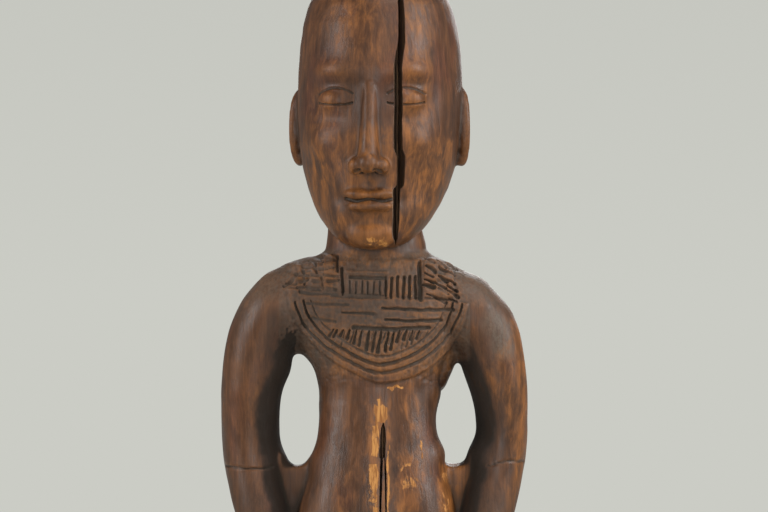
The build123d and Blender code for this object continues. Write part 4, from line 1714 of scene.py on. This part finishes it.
@dataclass(frozen=True)
class Lamp:
    """One soft box aimed at the figure's chest, with its place and size in metres and its power in watts."""

    name: str
    place: tuple[float, float, float]
    size: tuple[float, float]
    power: float
    aim: tuple[float, float, float] = (0.0, 0.0, 0.27)

    def hang(self) -> None:
        """Adds the lamp, out of the camera's sight."""
        data = bpy.data.lights.new(self.name, "AREA")
        data.shape = "RECTANGLE"
        data.size, data.size_y = self.size
        data.energy = self.power
        lamp = bpy.data.objects.new(self.name, data)
        lamp.location = self.place
        lamp.rotation_euler = (Vector(self.aim) - Vector(self.place)).to_track_quat("-Z", "Y").to_euler()
        lamp.visible_camera = False
        bpy.context.scene.collection.objects.link(lamp)


@dataclass
class Studio:
    """A pale floor that runs out into a pale surround, soft lights and the camera."""

    surround: tuple[float, float, float] = (0.597, 0.604, 0.558)
    surround_light: float = 0.22
    floor_radius: float = 6.0
    floor_drop: float = 0.0002
    floor_fade: tuple[float, float] = (0.12, 0.9)
    camera_place: tuple[float, float, float] = (3.8, -1706.7, 301.6)
    lens: float = 200.0
    sensor_width: float = 36.0
    lamps: tuple[Lamp, ...] = (
        Lamp("left_box", (-1.40, -0.50, 0.72), (0.5, 0.9), 15.5),
        Lamp("right_box", (1.40, -0.42, 0.86), (0.45, 0.9), 22.0),
        Lamp("top_box", (0.30, -0.45, 1.50), (0.45, 0.45), 7.5),
        Lamp("front_box", (0.10, -2.40, 0.45), (0.8, 0.8), 21.0),
        Lamp("high_box", (0.62, -1.45, 1.30), (0.28, 0.28), 4.5),
        Lamp("back_box", (0.2, 1.5, 0.9), (1.0, 1.0), 15.0),
    )

    def world(self) -> None:
        """A pale surround that lights the figure only weakly."""
        world = bpy.data.worlds.new("surround")
        world.use_nodes = True
        bpy.context.scene.world = world
        nodes, links = world.node_tree.nodes, world.node_tree.links
        seen = nodes["Background"]
        seen.inputs["Color"].default_value = (*self.surround, 1.0)
        lit = nodes.new("ShaderNodeBackground")
        lit.inputs["Color"].default_value = (1.0, 0.99, 0.97, 1.0)
        lit.inputs["Strength"].default_value = self.surround_light
        path, mix = nodes.new("ShaderNodeLightPath"), nodes.new("ShaderNodeMixShader")
        height = nodes.new("ShaderNodeSeparateXYZ")
        links.new(nodes.new("ShaderNodeTexCoord").outputs["Generated"], height.inputs[0])
        fade = nodes.new("ShaderNodeMapRange")
        for socket, number in zip(fade.inputs[1:5], (-0.01, 0.07, 1.0, 0.94)):
            socket.default_value = number
        links.new(height.outputs["Z"], fade.inputs[0])
        links.new(fade.outputs[0], seen.inputs["Strength"])
        links.new(path.outputs["Is Camera Ray"], mix.inputs[0])
        links.new(lit.outputs[0], mix.inputs[1])
        links.new(seen.outputs[0], mix.inputs[2])
        links.new(mix.outputs[0], nodes["World Output"].inputs["Surface"])

    def floor(self) -> bpy.types.Object:
        """A round floor whose edge takes the colour of the surround."""
        deselect_all()
        bpy.ops.mesh.primitive_circle_add(
            vertices=96, radius=self.floor_radius, fill_type="NGON", location=(0.0, 0.0, -self.floor_drop)
        )
        floor = bpy.context.active_object
        floor.name = "floor"
        t = Tree("pale_floor")
        t.shader.inputs["Base Color"].default_value = (*self.surround, 1.0)
        t.shader.inputs["Roughness"].default_value = 0.8
        distance = t.nodes.new("ShaderNodeVectorMath")
        distance.operation = "LENGTH"
        t.links.new(t.nodes.new("ShaderNodeTexCoord").outputs["Object"], distance.inputs[0])
        glow = t.add("ShaderNodeEmission", Color=(*self.surround, 1.0), Strength=1.0)
        mix = t.nodes.new("ShaderNodeMixShader")
        t.links.new(t.ramp(distance.outputs["Value"], *self.floor_fade), mix.inputs[0])
        t.links.new(t.shader.outputs[0], mix.inputs[1])
        t.links.new(glow.outputs[0], mix.inputs[2])
        t.links.new(mix.outputs[0], t.nodes["Material Output"].inputs["Surface"])
        floor.data.materials.append(t.material)
        return floor

    def camera(self) -> None:
        """The camera, level with the collar and straight in front."""
        data = bpy.data.cameras.new("camera")
        data.lens = self.lens
        data.sensor_width = self.sensor_width
        camera = bpy.data.objects.new("camera", data)
        camera.location = [c * MM for c in self.camera_place]
        camera.rotation_euler = (math.radians(90), 0.0, 0.0)
        bpy.context.scene.collection.objects.link(camera)
        bpy.context.scene.camera = camera

    def build(self) -> None:
        """Sets up everything round the figure."""
        bpy.context.scene.view_settings.view_transform = "Standard"
        self.world()
        self.floor()
        for lamp in self.lamps:
            lamp.hang()
        self.camera()


# ---------------------------------------------------------------------------------------------------
# The figure
# ---------------------------------------------------------------------------------------------------


@dataclass
class Figure:
    """The whole carved figure, around the frame."""

    nodes: dict[str, bpy.types.Object]
    most_triangles: int = 185_000
    smooth_angle: float = 50.0

    def cracks(self) -> dict[str, list[Crack]]:
        """The seasoning cracks, by the piece that they open."""
        head = Crack(
            "head_crack",
            path=((306.0, 7.8), (311.0, 7.9), (316.0, 8.4), (327.8, 8.6), (329.4, 10.6), (341.0, 10.8),
                  (343.4, 9.4), (376.0, 9.4), (380.5, 10.2), (386.0, 11.3), (402.0, 11.4), (436.0, 11.9)),
            mouths=((306.0, 0.3), (307.6, 0.6), (308.6, 2.5), (311.0, 3.1), (316.0, 3.4),
                    (332.0, 3.8), (344.0, 4.1), (376.0, 3.9), (402.0, 3.5), (436.0, 3.5)),
            front_y=-62.0,
            narrow_y=-37.0,
            tip=(9.0, -10.0),
            tear=0.13,
        )
        belly = {
            "wide": ((221.6, 2.9), (228.0, 3.3), (235.6, 3.5)),
            "left": ((176.0, 1.6), (190.0, 2.1), (210.0, 2.6), (223.0, 2.9)),
            "right": ((176.0, 4.4), (195.0, 4.7), (215.0, 4.5), (224.0, 4.0)),
        }
        mouths = {
            "wide": ((221.6, 1.6), (223.0, 2.5), (230.0, 2.5), (233.6, 1.7), (235.6, 0.4)),
            "left": ((176.0, 0.3), (190.0, 0.7), (210.0, 1.0), (223.0, 1.1)),
            "right": ((176.0, 0.3), (190.0, 0.6), (215.0, 0.7), (224.0, 0.4)),
        }
        torn = [
            Crack(f"belly_crack_{key}", path, mouths[key], front_y=-40.0, narrow_y=-18.6, tip=(3.2, -9.0),
                  tip_width=0.35, tear=0.10, step=0.6)
            for key, path in belly.items()
        ]
        return {"carved_head": [head], "carved_abdomen": torn, "carved_hips": torn[1:]}

    def open_cracks(self, piece: bpy.types.Object, cracks: Sequence[Crack], torn: bpy.types.Material) -> None:
        """Cuts each crack into a piece, and gives its walls the torn wood."""
        for crack in cracks:
            blade = crack.blade(Noise(SEED + 1))
            blade.data.materials.append(torn)
            finish_with(piece, "BOOLEAN", object=blade, operation="DIFFERENCE", solver="EXACT",
                        material_mode="TRANSFER")
            bpy.data.objects.remove(blade)

    def lighten(self, piece: bpy.types.Object) -> None:
        """Thins out a piece's mesh where it has more triangles than it needs."""
        corners = np.empty(len(piece.data.polygons), np.int32)
        piece.data.polygons.foreach_get("loop_total", corners)
        triangles = int(np.sum(corners - 2))
        if triangles > self.most_triangles:
            finish_with(piece, "DECIMATE", ratio=self.most_triangles / triangles)

    def build(self) -> None:
        """Makes, divides and dresses the block."""
        head_low, head_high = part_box("head")
        head = HeadForm(chin_z=head_low.z / MM, crown_z=head_high.z / MM)
        base_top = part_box("base")[1].z / MM
        block = Block(head, BodyForm(self.nodes, base_top), voxel=FINE_VOXEL)
        block.build()
        torn = TornWood("torn_wood").build()
        woods = (
            OldWood("head_wood", warm=(0.090, 0.033, 0.0098), deep=(0.050, 0.0195, 0.0075), gloss=0.42),
            OldWood("engraved_wood", gloss=0.46),
            OldWood("body_wood"),
            OldWood("base_wood", gloss=0.55),
        )
        finishes = {wood.name: wood.build() for wood in woods}
        cracks = self.cracks()
        for region in Division().regions():
            piece = divide_block(block.obj, region)
            self.lighten(piece)
            piece.data.materials.append(finishes[region.slot])
            self.open_cracks(piece, cracks.get(region.name, ()), torn)
            take(piece)
            bpy.ops.object.shade_smooth_by_angle(angle=math.radians(self.smooth_angle))
            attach(piece, "root")
            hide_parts(*region.nodes)
            log.info("%s: %d faces", region.name, len(piece.data.polygons))
        bpy.data.objects.remove(block.obj)


def main() -> None:
    """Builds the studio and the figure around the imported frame."""
    logging.basicConfig(level=logging.INFO, format="%(name)s: %(message)s")
    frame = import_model()
    Studio().build()
    Figure(frame["nodes"]).build()


if __name__ == "__main__":
    main()
